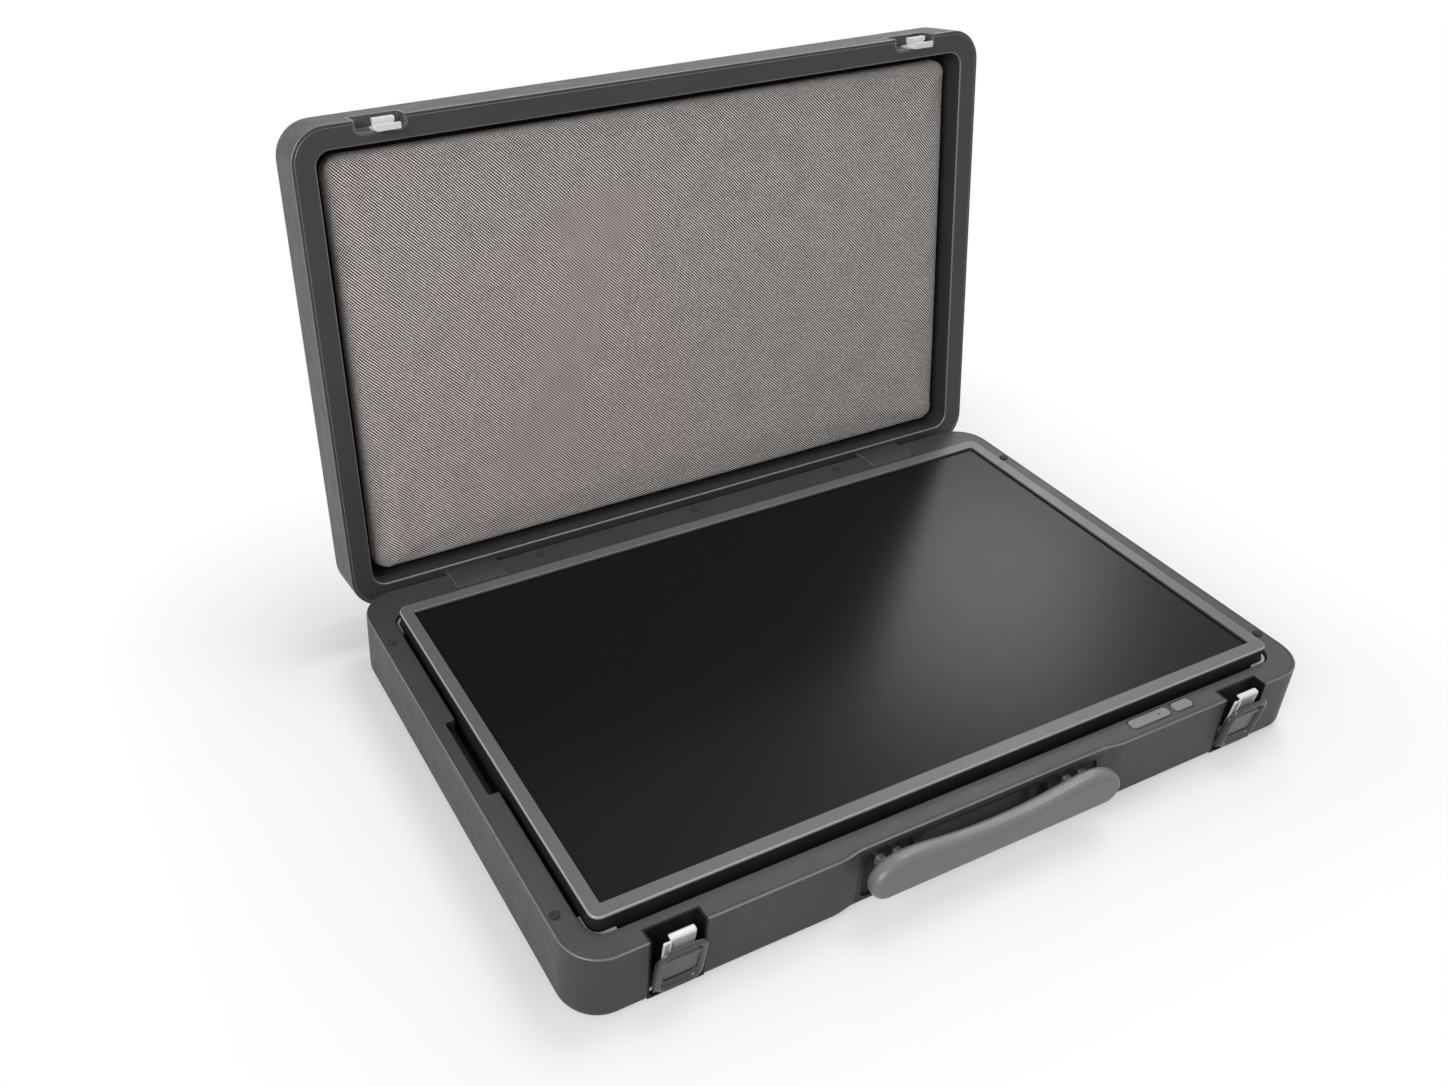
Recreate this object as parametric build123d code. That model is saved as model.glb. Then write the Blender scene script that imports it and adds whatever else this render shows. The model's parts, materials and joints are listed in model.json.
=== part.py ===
from build123d import *
import math
import os

# Hard carrying case with a flat display lying in its base.
# Millimetres. X runs along the hinge line, Y from the front (handle) to the back (hinges), Z up.
# Everything is built with the front face of the base at Y = 0 and the table at Z = 0, with the lid
# and its pieces lying closed. The lid is then swung open, and the whole case is moved so that the
# origin lies under the middle of the open case.

# ---------------------------------------------------------------- driving dimensions
# case outline
case_w = 670.0
case_d = 420.0
corner_r = 30.0
wall_t = 2.6
deck_z = 61.0
foot_h = 1.5
floor_t = 2.6
bottom_r = 7.0
rim_edge_r = 1.0
seam = 0.35
fit_gap = 0.2

# deck and display well
deck_t = 2.5
deck_side = 19.4
deck_front = 19.2
deck_back = 31.0
well_r = 15.0
well_wall_t = 2.0
well_room = 14.0
well_floor_t = 2.0

# display
display_gap_side = 4.5
display_gap_front = 5.4
display_r = 8.0
display_proud = 10.0
display_t = 26.0
bezel_w = 10.8
bezel_t = 2.4
bezel_edge = 0.8
cover_t = 2.0
glass_t = 0.8
lcd_t = 8.0
panel_frame_t = 1.5
panel_lap = 4.0
layer_gap = 0.1

# lifting arm under the display
arm_axis_back = 17.0
arm_axis_rise = 8.5
arm_head_front = 39.0
arm_w = 62.0
arm_t = 10.0
arm_pin_r = 2.6
arm_cheek_t = 4.0
arm_swing_deg = 80.0

# lid
lid_gap = 1.5
lid_t = 54.0
lid_edge_r = 12.0
lid_top_t = 2.8
lid_rim = 20.0
lid_frame_t = 2.5
lid_opening_r = 13.0
lid_open_deg = 99.3
pad_gap = 7.2
pad_sink = 10.5
pad_t = 14.0
pad_r = 15.0
pad_crown = 0.8
board_t = 2.0

# lid hinges
hinge_x = 225.0
hinge_in = 5.0
hinge_drop = 11.0
knuckle_w = 49.0
knuckle_reach = 15.5
knuckle_boss_r = 7.0
hinge_pin_r = 3.0
hinge_cheek_t = 3.0
hinge_side_gap = 0.6
running_fit = 0.05

# latches
latch_x = 260.0
latch_w = 41.0
latch_depth = 10.5
latch_floor_z = 6.4
bay_t = 1.5
lever_w = 38.0
lever_top = 46.5
lever_t = 4.0
lever_pivot_y = 2.5
lever_pivot_z = 11.6
lever_border = 4.6
lever_face_z = 21.4
lever_lean = 8.0
hook_ratio = 0.29
hook_w = 25.0
hook_step_w = 5.0
hook_step = 3.2
hook_pin_y = 4.7
hook_pin_z = 3.0
hook_play = 0.3
hook_claw_t = 2.4
latch_pin_r = 1.5
catch_drop = 8.4
catch_t = 2.4
catch_w = 20.0
catch_right = 4.5
pocket_r = 4.0
pocket_t = 18.0

# pull-out handle
handle_l = 228.0
handle_low = 26.7
handle_top = 61.0
handle_waist = 53.5
handle_hump_x = 85.0
handle_t = 14.0
handle_out = 19.3
handle_pushed = 6.3
handle_pulled = 2.2
scoop_half = 133.0
scoop_run = 25.0
scoop_in = 2.6
bay_half = 112.0
bay_bottom_z = 7.5
bay_top_z = 56.0
guide_x = 86.5
guide_w = 43.0
guide_h = 44.0
guide_inset = 1.4
guide_t = 2.0
slot_gap = 0.3
post_pitch = 15.0
post_w = 7.0
post_h = 10.0
post_z = 42.0
stop_t = 1.5
channel_half = 60.0

# controls on the front deck
rocker_x = 167.7
rocker_l = 40.0
power_x = 202.0
power_l = 19.0
button_y = 12.1
button_w = 8.8
button_proud = 0.8
button_gap = 0.5
button_depth = 5.5

# recess in the left edge of the well
recess_y = 205.0
recess_l = 84.0
recess_w = 8.4
recess_drop = 8.0

# electronics under the display
board_front_in = 26.0
main_board_w = 190.0
main_board_d = 120.0
power_board_w = 150.0
power_board_d = 90.0
board_gap = 24.8
battery_w = 260.0
battery_back_in = 90.0
battery_head = 3.9
speaker_head = 2.9
cap_head = 12.9

# rubber parts and screws
bumper_r = 3.9
bumper_side_in = 7.5
bumper_end_in = 66.0
bumper_back_in = 8.5
bumper_pitch = 163.5
foot_r = 11.0
foot_in = 45.0
screw_r = 1.5
screw_head_r = 3.0
screw_l = 24.0
boss_r = 4.2

# ---------------------------------------------------------------- values worked out from them
half_w = case_w / 2
tray_z = foot_h
floor_z = tray_z + floor_t
well_w = case_w - 2 * deck_side
well_d = case_d - deck_front - deck_back
well_back = deck_front + well_d
display_w = well_w - 2 * display_gap_side
display_d = well_d - 2 * display_gap_front
display_front = deck_front + display_gap_front
display_top = deck_z + display_proud
display_z = display_top - display_t
well_floor_z = display_z - well_room
inner_room = well_floor_z - well_floor_t - floor_z
rim_z = deck_z + lid_gap
opening_w = case_w - 2 * lid_rim
opening_d = case_d - 2 * lid_rim
hinge_y = case_d - hinge_in
hinge_z = deck_z - hinge_drop
bay_back = deck_front - well_wall_t - fit_gap
arm_y = well_back - arm_axis_back
arm_z = display_z - arm_axis_rise
head_y = display_front + display_d / 2 - arm_head_front
bay_w = latch_w + 2 * bay_t
hook_top_z = rim_z - catch_drop + catch_t + hook_play + hook_claw_t
lid_ang = -lid_open_deg


# ---------------------------------------------------------------- small helpers
def plate(width, depth, height, x, front, z, radius=0.0):
    """An upright slab with rounded corners: middle x, front edge y, underside z."""
    shape = RectangleRounded(width, depth, radius) if radius else Rectangle(width, depth)
    return Pos(x, front + depth / 2, z) * extrude(shape, height)


def slab_xz(width, height, depth, x, front, z, radius=0.0):
    """A slab whose outline stands in the front plane: middle x, front face y, middle z."""
    shape = RectangleRounded(width, height, radius) if radius else Rectangle(width, height)
    return Pos(x, front, z) * Rot(-90, 0, 0) * extrude(shape, depth)


def rod_x(radius, length, x, y, z):
    """A round bar along X, with its middle at the point given."""
    return Pos(x, y, z) * Rot(0, 90, 0) * Cylinder(radius, length)


def rod_z(radius, height, x, y, z):
    """A round post standing on z."""
    return Pos(x, y, z) * extrude(Circle(radius), height)


def prism_x(profile, width, x):
    """A Y-Z outline stretched along X, with its middle at x."""
    face = Plane(origin=(x - width / 2, 0, 0), x_dir=(0, 1, 0), z_dir=(1, 0, 0)) * profile
    return extrude(face, width)


def polygon(*points):
    return make_face(Polyline(*points, close=True))


def edges_at(part, z):
    """The edges that lie at one height."""
    return part.edges().filter_by(lambda e: abs(e.bounding_box().min.Z - z) < 1e-4
                                  and abs(e.bounding_box().max.Z - z) < 1e-4)


def mirrored(build):
    """The left and the right one of a piece that is built at +x or -x."""
    return {"left": build(-1), "right": build(1)}


def base_plan(inset):
    """Plan of the base, drawn inset from its walls, with the long shallow scoop in its front."""
    x, r = half_w - inset, corner_r - inset
    front, back = inset, case_d - inset
    a, b = scoop_half, scoop_half - scoop_run
    ease = scoop_run / 2
    deep = front + scoop_in
    k = r * (1 - math.sqrt(0.5))
    outline = [
        Bezier((-a, front), (-a + ease, front), (-b - ease, deep), (-b, deep)),
        Line((-b, deep), (b, deep)),
        Bezier((b, deep), (b + ease, deep), (a - ease, front), (a, front)),
        Line((a, front), (x - r, front)),
        ThreePointArc((x - r, front), (x - k, front + k), (x, front + r)),
        Line((x, front + r), (x, back - r)),
        ThreePointArc((x, back - r), (x - k, back - k), (x - r, back)),
        Line((x - r, back), (-x + r, back)),
        ThreePointArc((-x + r, back), (-x + k, back - k), (-x, back - r)),
        Line((-x, back - r), (-x, front + r)),
        ThreePointArc((-x, front + r), (-x + k, front + k), (-x + r, front)),
        Line((-x + r, front), (-a, front)),
    ]
    return make_face(outline)


# ---------------------------------------------------------------- base
def screw_places():
    """Side, front and back screws, each in the strip between the outer wall and the well."""
    side = half_w - wall_t - (deck_side - wall_t - well_wall_t) / 2
    front = wall_t + (deck_front - well_wall_t - wall_t) / 2 + 1
    back = (well_back + well_wall_t + case_d - wall_t) / 2
    near = scoop_half + 4
    far = (hinge_x - knuckle_w / 2 - near) / 2 + near - 22
    return [(side, case_d / 6), (-side, case_d / 6), (side, case_d * 5 / 6), (-side, case_d * 5 / 6),
            (near, front), (-near, front), (far, back), (-far, back)]


def hinge_notch(front_in, low, high):
    """Space for both lid knuckles, open at the back of the base."""
    width = knuckle_w + 2 * hinge_side_gap
    depth = front_in + 1
    cut = Part()
    for side in (-1, 1):
        cut += plate(width, depth, high - low, side * hinge_x, case_d - front_in, low)
    return cut


def base_tray():
    """The outer shell of the base: floor, drafted bottom edge, walls and screw posts."""
    height = deck_z - tray_z
    body = Pos(0, 0, tray_z) * extrude(base_plan(0), height)
    body = fillet(edges_at(body, tray_z), bottom_r)
    body = fillet(edges_at(body, deck_z), rim_edge_r)
    inside = Pos(0, 0, floor_z) * extrude(base_plan(wall_t), height)
    body -= chamfer(edges_at(inside, floor_z), bottom_r - wall_t - 1)
    deck_low = deck_z - deck_t - seam
    meet_z = floor_z + screw_l - 8
    for x, y in screw_places():
        body += rod_z(boss_r, meet_z - floor_z, x, y, floor_z)
        body -= rod_z(screw_r + running_fit, meet_z - tray_z, x, y, tray_z)
        body -= rod_z(screw_head_r + fit_gap, 2.4, x, y, tray_z)
    for side in (-1, 1):
        body -= plate(bay_w + 2 * fit_gap, latch_depth + bay_t + fit_gap + 1, deck_z, side * latch_x, -1,
                      latch_floor_z - bay_t - fit_gap)
    body -= slab_xz(2 * bay_half + 2 * fit_gap, bay_top_z - bay_bottom_z + 2 * fit_gap, bay_back, 0, -1,
                    (bay_top_z + bay_bottom_z) / 2)
    body -= hinge_notch(wall_t + 1, hinge_z - knuckle_boss_r - 5.0, deck_low + deck_t + 1)
    for side in (-1, 1):
        body -= rod_x(hinge_pin_r + fit_gap, hinge_pin_length() + 1, side * hinge_x, hinge_y, hinge_z)
    for x, y in foot_places():
        body -= rod_z(foot_r + fit_gap, 0.8, x, y, tray_z)
    return body


def foot_places():
    x = half_w - foot_in
    return [(-x, foot_in), (x, foot_in), (-x, case_d - foot_in), (x, case_d - foot_in)]


def feet():
    """Four low round rubber feet, set into shallow seats."""
    pads = Part()
    for x, y in foot_places():
        foot = rod_z(foot_r, foot_h + 0.8, x, y, 0)
        pads += chamfer(edges_at(foot, 0), 0.8)
    return pads


def recess_cut(low):
    """The finger recess in the left edge of the well, with eased corners."""
    edge = -well_w / 2
    return plate(recess_w + 20, recess_l, deck_z - low + 1, edge - recess_w + (recess_w + 20) / 2,
                 recess_y - recess_l / 2, low, 3.5)


def deck_panel():
    """The flat deck, its well walls, the left finger recess and the screw posts below it."""
    top = Pos(0, 0, deck_z - deck_t) * extrude(base_plan(wall_t + seam), deck_t)
    wall_h = deck_z - well_floor_z
    top += plate(well_w + 2 * well_wall_t, well_d + 2 * well_wall_t, wall_h, 0, deck_front - well_wall_t,
                 well_floor_z, well_r + well_wall_t)
    shelf_low = deck_z - recess_drop - 6
    edge = -well_w / 2
    cheek = recess_w + 2
    top += plate(cheek, recess_l + 4, deck_z - shelf_low, edge - cheek / 2, recess_y - recess_l / 2 - 2, shelf_low)
    well = plate(well_w, well_d, deck_z, 0, deck_front, well_floor_z - 1, well_r)
    shelf = prism_y_wedge(edge, shelf_low)
    top -= well
    top -= recess_cut(shelf_low + 1.5)
    top += shelf
    for side in (-1, 1):
        top -= plate(bay_w + 2 * fit_gap, latch_depth + bay_t + fit_gap + 1, deck_z, side * latch_x, -1,
                     latch_floor_z)
    top -= hinge_notch(hinge_in + knuckle_reach + 0.4, deck_z - deck_t - 1, deck_z + 1)
    for x, length in ((rocker_x, rocker_l), (power_x, power_l)):
        top -= button_shape(x, length, button_gap, deck_z - deck_t - 1, deck_t + 2)
    meet_z = floor_z + screw_l - 8
    for x, y in screw_places():
        top += rod_z(boss_r, deck_z - deck_t - meet_z, x, y, meet_z)
        top -= rod_z(screw_r, 9, x, y, meet_z)
    for x in (rocker_x - rocker_l / 2 - 4.2, power_x + power_l / 2 + 4.2):
        top += rod_z(2, deck_z - deck_t - button_board_z() - 1.6, x, button_y, button_board_z() + 1.6)
    for x, y in bumper_places():
        top -= rod_z(bumper_r + 0.05, 1.2, x, y, deck_z - 1.2)
    return top


def prism_y_wedge(edge, low):
    """The sloping floor of the left finger recess."""
    outer = edge - recess_w
    face = make_face(Polyline((outer, low), (edge, low), (edge, low + 2), (outer, low + 6), close=True))
    wedge = Plane(origin=(0, recess_y + recess_l / 2, 0), x_dir=(1, 0, 0), z_dir=(0, -1, 0)) * face
    return extrude(wedge, recess_l)


def bumper_places():
    """Two on each side of the deck and three along the back."""
    x = half_w - bumper_side_in
    y_front, y_back = bumper_end_in - 19, case_d - bumper_end_in
    back = case_d - bumper_back_in
    return [(-x, y_front), (x, y_front), (-x, y_back), (x, y_back),
            (-bumper_pitch, back), (0, back), (bumper_pitch, back)]


def deck_bumpers():
    """Small round rubber buttons that hold the closed lid off the deck."""
    dots = Part()
    for x, y in bumper_places():
        dot = rod_z(bumper_r, 1.2 + lid_gap - 0.3, x, y, deck_z - 1.2)
        dots += chamfer(edges_at(dot, deck_z + lid_gap - 0.3), 0.6)
    return dots


def well_floor():
    """Flat chassis plate under the display, with a slot for the foot of the lifting arm."""
    floor = plate(well_w + 2 * well_wall_t, well_d + 2 * well_wall_t, well_floor_t, 0,
                  deck_front - well_wall_t, well_floor_z - well_floor_t, well_r + well_wall_t)
    for x in (-well_w / 3, well_w / 3):
        for i in range(6):
            slot = SlotOverall(70, 5)
            floor -= Pos(x, deck_front + 120 + i * 16, well_floor_z - well_floor_t - 1) * extrude(slot, 5)
    return floor


def corner_cradles():
    """Four curved posts that hug the corners of the display."""
    ring_in = 0.5
    ring_out = 3.0
    height = deck_z - 3 - well_floor_z
    ring = plate(display_w + 2 * ring_out, display_d + 2 * ring_out, height, 0, display_front - ring_out,
                 well_floor_z, display_r + ring_out)
    ring -= plate(display_w + 2 * ring_in, display_d + 2 * ring_in, height, 0, display_front - ring_in,
                  well_floor_z, display_r + ring_in)
    reach = display_r + 9
    posts = Part()
    for sx in (-1, 1):
        for y in (display_front, display_front + display_d):
            posts += ring & plate(2 * reach, 2 * reach, height, sx * display_w / 2, y - reach, well_floor_z)
    return posts


def base_screws():
    """Pan-head screws that clamp the deck to the tray."""
    screws = Part()
    for x, y in screw_places():
        screws += rod_z(screw_head_r, 2.2, x, y, tray_z + 0.2)
        screws += rod_z(screw_r, screw_l - 2.4, x, y, tray_z + 2.4)
    return screws


# ---------------------------------------------------------------- handle
def handle_bay():
    """Moulded bay behind the handle: a finger channel between two square sockets."""
    height = bay_top_z - bay_bottom_z
    middle = (bay_top_z + bay_bottom_z) / 2
    body = slab_xz(2 * bay_half, height, bay_back - scoop_in, 0, scoop_in, middle)
    channel = slab_xz(2 * channel_half, height - 6, bay_back - scoop_in, 0, scoop_in - 3, middle, 8)
    back = channel.faces().sort_by(Axis.Y)[-1]
    channel = fillet(back.edges(), 6)
    body -= channel
    for side in (-1, 1):
        body -= slab_xz(guide_w, guide_h, bay_back - scoop_in, side * guide_x, scoop_in, middle, 7)
    return body


def handle_guide(side):
    """Black socket plate with two slots that guide the posts."""
    middle = (bay_top_z + bay_bottom_z) / 2
    x = side * guide_x
    body = slab_xz(guide_w - 2 * fit_gap, guide_h - 2 * fit_gap, guide_t, x, scoop_in + guide_inset, middle,
                   7 - fit_gap)
    for dx in (-post_pitch / 2, post_pitch / 2):
        body -= slab_xz(post_w + 2 * slot_gap, post_h + 2 * slot_gap, guide_t + 2, x + dx,
                        scoop_in + guide_inset - 1, post_z, 3)
    return body


def grip_outline():
    """Front view of the grip: level below, dipped between two swellings above."""
    half, hump = handle_l / 2, handle_hump_x
    low, top, waist = handle_low, handle_top, handle_waist
    middle = (low + waist + 2) / 2
    foot = half - (middle - low) * 0.95
    k = 0.55
    return make_face([
        Line((-foot, low), (foot, low)),
        Bezier((foot, low), (foot + k * (half - foot), low), (half, middle - k * (middle - low)), (half, middle)),
        Bezier((half, middle), (half, middle + k * (top - middle)), (hump + k * (half - hump), top), (hump, top)),
        Bezier((hump, top), (hump * 0.73, top), (hump * 0.53, waist), (0, waist)),
        Bezier((0, waist), (-hump * 0.53, waist), (-hump * 0.73, top), (-hump, top)),
        Bezier((-hump, top), (-hump - k * (half - hump), top), (-half, middle + k * (top - middle)),
               (-half, middle)),
        Bezier((-half, middle), (-half, middle - k * (middle - low)), (-foot - k * (half - foot), low),
               (-foot, low)),
    ])


def grip_back():
    """Y of the face of the grip that looks at the case."""
    return handle_t - handle_out


def handle_grip():
    """Soft rounded bar, level below and dipped along its top."""
    bar = Pos(0, grip_back(), 0) * Rot(90, 0, 0) * extrude(grip_outline(), handle_t)
    ends = [f for f in bar.faces() if abs(f.normal_at().Y) > 0.99]
    rims = [e for f in ends for e in f.edges()]
    bar = fillet(rims, handle_t * 0.42)
    for side in (-1, 1):
        for dx in (-post_pitch / 2, post_pitch / 2):
            bar -= slab_xz(post_w + 2 * fit_gap, post_h + 2 * fit_gap, 6.2, side * guide_x + dx,
                           grip_back() - 6, post_z, 2.5)
    return bar


def stop_front():
    """Front face of the cross plates: they meet the socket plates when the grip is pulled right out."""
    return scoop_in + guide_inset + guide_t + handle_pulled


def handle_posts():
    """Four flat steel posts, two at each end, from the grip into the sockets."""
    start = grip_back() - 5.8
    posts = Part()
    for side in (-1, 1):
        for dx in (-post_pitch / 2, post_pitch / 2):
            posts += slab_xz(post_w, post_h, stop_front() - start, side * guide_x + dx, start, post_z, 2.5)
    return posts


def handle_stops():
    """Steel cross plates that keep each pair of posts from pulling out."""
    plates = Part()
    for side in (-1, 1):
        plates += slab_xz(post_pitch + post_w + 4, post_h + 8, stop_t, side * guide_x, stop_front(), post_z, 2)
    return plates


# ---------------------------------------------------------------- latches
def cup(x, low, high, wall_top):
    """A three-sided pocket open at the front and at one end, with a rounded floor."""
    height = high - low
    body = plate(bay_w, latch_depth + bay_t, height, x, 0, low)
    if wall_top:
        body -= plate(latch_w, latch_depth + 1, height, x, -1, low + bay_t)
    else:
        body -= plate(latch_w, latch_depth + 1, height, x, -1, low - bay_t)
    return body


def latch_bay(side):
    """The moulded pocket of one latch, set into the front wall and deck."""
    low = latch_floor_z - bay_t
    body = cup(side * latch_x, low, deck_z, True)
    corner = [e for e in body.edges().filter_by(Axis.Y)
              if abs(e.center().Z - latch_floor_z) < 0.01 and abs(abs(e.center().X - side * latch_x) - latch_w / 2) < 0.01]
    body = fillet(corner, 4.0)
    body -= rod_x(latch_pin_r + running_fit, bay_w + 2, side * latch_x, lever_pivot_y, lever_pivot_z)
    return body


def latch_pins():
    """The pivot pins of the two levers."""
    pins = Part()
    for side in (-1, 1):
        pins += rod_x(latch_pin_r, bay_w, side * latch_x, lever_pivot_y, lever_pivot_z)
    return pins


def lever_axis(side=1):
    return Axis((0, lever_pivot_y, lever_pivot_z), (1, 0, 0))


def hook_axis():
    """The hook's pivot once the lever leans out as it does at rest."""
    a = math.radians(lever_lean)
    y = hook_pin_y * math.cos(a) - hook_pin_z * math.sin(a)
    z = hook_pin_y * math.sin(a) + hook_pin_z * math.cos(a)
    return Axis((0, lever_pivot_y + y, lever_pivot_z + z), (1, 0, 0))


def latch_lever(side):
    """Shield-shaped lever with a rolled edge, a finger slot and a pivot barrel below."""
    x = side * latch_x
    low = lever_pivot_z - 3.6
    front = -2.0
    height = lever_top - low
    half = lever_w / 2
    crown = 8.5
    foot = 11.0
    outline = [
        Line((-half, low + foot), (-half, lever_top - crown)),
        ThreePointArc((-half, lever_top - crown), corner_mid(-half, lever_top, crown, 1, -1),
                      (-half + crown, lever_top)),
        Line((-half + crown, lever_top), (half - crown, lever_top)),
        ThreePointArc((half - crown, lever_top), corner_mid(half, lever_top, crown, -1, -1),
                      (half, lever_top - crown)),
        Line((half, lever_top - crown), (half, low + foot)),
        ThreePointArc((half, low + foot), corner_mid(half, low, foot, -1, 1), (half - foot, low)),
        Line((half - foot, low), (-half + foot, low)),
        ThreePointArc((-half + foot, low), corner_mid(-half, low, foot, 1, 1), (-half, low + foot)),
    ]
    face = make_face(outline)
    body = Pos(x, front + lever_t, 0) * Rot(90, 0, 0) * extrude(face, lever_t)
    rims = body.faces().sort_by(Axis.Y)[0].edges()
    body = fillet(rims, 2.6)
    inner = lever_w - 2 * lever_border
    body -= slab_xz(inner, height - lever_border - lever_face_z + low, 1.8, x, front - 1,
                    (lever_top - lever_border + lever_face_z) / 2, crown - 3.5)
    body -= slab_xz(inner, lever_face_z - low - 1.6, 3.4, x, front - 1, (lever_face_z + low - 1.6) / 2 + 0.8, 3)
    body += rod_x(3.3, inner + 1, x, front + 3.6, lever_pivot_z + 2.6)
    body += rod_x(3.6, lever_w - 2, x, lever_pivot_y, lever_pivot_z)
    for ear in (-1, 1):
        ear_x = x + ear * (hook_w / 2 + 2)
        body += prism_x(ear_profile(), 2.6, ear_x)
    body -= plate(hook_w + 2 * slot_gap, 9, 9, x, lever_pivot_y + 1.3, lever_pivot_z - 4.5)
    body -= rod_x(latch_pin_r + running_fit, lever_w + 2, x, lever_pivot_y, lever_pivot_z)
    body -= rod_x(1.2 + running_fit, hook_w + 12, x, lever_pivot_y + hook_pin_y, lever_pivot_z + hook_pin_z)
    return body.rotate(lever_axis(), lever_lean)


def corner_mid(x, z, r, sx, sz):
    """The middle point of a rounded corner whose square corner is at x, z."""
    k = r * (1 - math.sqrt(0.5))
    return (x + sx * k, z + sz * k)


def ear_profile():
    """Side view of the lever's ear, from its barrel to the hook's pin."""
    y, z = lever_pivot_y, lever_pivot_z
    py, pz = y + hook_pin_y, z + hook_pin_z
    return polygon((y - 1.5, z - 2.6), (y + 1.5, z - 3), (py + 2.4, pz - 1.4), (py + 2.4, pz + 1.4),
                   (py - 1, pz + 2.4), (y - 1.5, z + 9))


def hook_pin(side):
    """Short pin that carries the hook in the lever's ears."""
    pin = rod_x(1.2, hook_w + 6.6, side * latch_x, lever_pivot_y + hook_pin_y, lever_pivot_z + hook_pin_z)
    return pin.rotate(lever_axis(), lever_lean)


def latch_hook(side):
    """White hook: an eye on the pin, a flat arm and a stepped claw that faces inwards."""
    x = side * latch_x
    py, pz = lever_pivot_y + hook_pin_y, lever_pivot_z + hook_pin_z
    arm_out, arm_in = 2.4, 4.6
    claw_end = 7.6
    tall = polygon((py - 2.2, pz + 0.8), (arm_out + 0.3, pz + 14), (arm_out, hook_top_z - 1.2),
                   (arm_out + 1.2, hook_top_z), (claw_end - 0.6, hook_top_z), (claw_end, hook_top_z - 0.9),
                   (claw_end, hook_top_z - hook_claw_t), (arm_in, hook_top_z - hook_claw_t),
                   (arm_in, pz + 14), (py + 2.2, pz + 0.8))
    step = hook_step
    low = polygon((py - 2.2, pz + 0.8), (arm_out + 0.3, pz + 14), (arm_out, hook_top_z - step),
                  (arm_in, hook_top_z - step), (arm_in, pz + 14), (py + 2.2, pz + 0.8))
    share = hook_step_w
    body = prism_x(tall, hook_w - share, x + share / 2)
    body += prism_x(low, share, x - (hook_w - share) / 2)
    body += rod_x(2.4, hook_w, x, py, pz)
    body -= rod_x(1.2 + running_fit, hook_w + 2, x, py, pz)
    return body.rotate(lever_axis(), lever_lean).rotate(hook_axis(), -hook_ratio * lever_lean)


def pocket_slab(x, half, deep, low, height, radius):
    """A slab open to the front whose two inner corners are rounded."""
    return plate(2 * half, deep + 2 * radius, height, x, -2 * radius, low, radius)


def catch_bay(side):
    """The pocket in the lid's free edge that holds the catch, rounded towards the pad."""
    x = side * latch_x
    outer = pocket_slab(x, bay_w / 2, latch_depth + bay_t, rim_z, pocket_t + bay_t, pocket_r + bay_t)
    outer -= pocket_slab(x, latch_w / 2, latch_depth, rim_z - 1, pocket_t + 1, pocket_r)
    return outer & plate(bay_w + 2, latch_depth + bay_t + 1, pocket_t + bay_t + 2, x, 0, rim_z - 1)


def latch_catch(side):
    """White catch: a plate on the pocket's back wall, a bar below the rim and a lip above it."""
    x = side * latch_x + catch_right
    back = latch_depth
    bar_low = rim_z - catch_drop
    side_view = polygon((back, rim_z + 12), (back - 2, rim_z + 12), (back - 2, rim_z + 1.5),
                        (back - 1.8, bar_low + catch_t), (5.0, bar_low + catch_t), (5.0, bar_low),
                        (back - 0.3, bar_low), (back - 0.3, rim_z - 0.2), (back, rim_z + 0.3))
    body = prism_x(side_view, catch_w, x)
    web = polygon((back - 1, rim_z + 1.8), (2.4, rim_z + 1.8), (2.4, rim_z + 4.8), (back - 1, rim_z + 4.8))
    body += prism_x(web, catch_w - 2, x - 1)
    lip = polygon((1.0, rim_z + 0.4), (4.4, rim_z + 0.4), (4.4, rim_z + 5.6), (1.0, rim_z + 5.6))
    body += prism_x(lip, catch_w - 2, x - 1)
    return body


# ---------------------------------------------------------------- lid hinges
def knuckle_profile():
    """Side view of the lid arm, drawn with the lid open: the hinge axis is the origin.

    Its top is flush with the deck and gently crowned, and its back end lies on the lid's rim."""
    a = math.radians(lid_open_deg - 90)
    reach = hinge_drop + lid_gap

    def rim_at(z):
        return (reach + z * math.sin(a)) / math.cos(a)

    top_back, low_back = 8.6, -4.0
    front_top = hinge_drop - 0.6
    outline = [
        Line((-knuckle_reach, 2.5), (-knuckle_reach, front_top)),
        ThreePointArc((-knuckle_reach, front_top), (-3.0, hinge_drop + 0.5), (rim_at(top_back), top_back)),
        Line((rim_at(top_back), top_back), (rim_at(low_back), low_back)),
        Line((rim_at(low_back), low_back), (2.6, -knuckle_boss_r + 0.5)),
        ThreePointArc((2.6, -knuckle_boss_r + 0.5), (0, -knuckle_boss_r), (-4.0, -5.7)),
        Line((-4.0, -5.7), (-knuckle_reach, 2.5)),
    ]
    return make_face(outline)


def hinge_arm(side):
    """Cast arm of the lid, with a bored boss that turns on the hinge pin."""
    arm = prism_x(knuckle_profile(), knuckle_w, side * hinge_x)
    long_edges = [e for e in arm.edges().filter_by(Axis.X) if e.center().Y < -knuckle_reach + 0.1]
    arm = fillet(long_edges, 1.2)
    arm -= rod_x(hinge_pin_r + running_fit, knuckle_w + 2, side * hinge_x, 0, 0)
    return Pos(0, hinge_y, hinge_z) * arm


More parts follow.
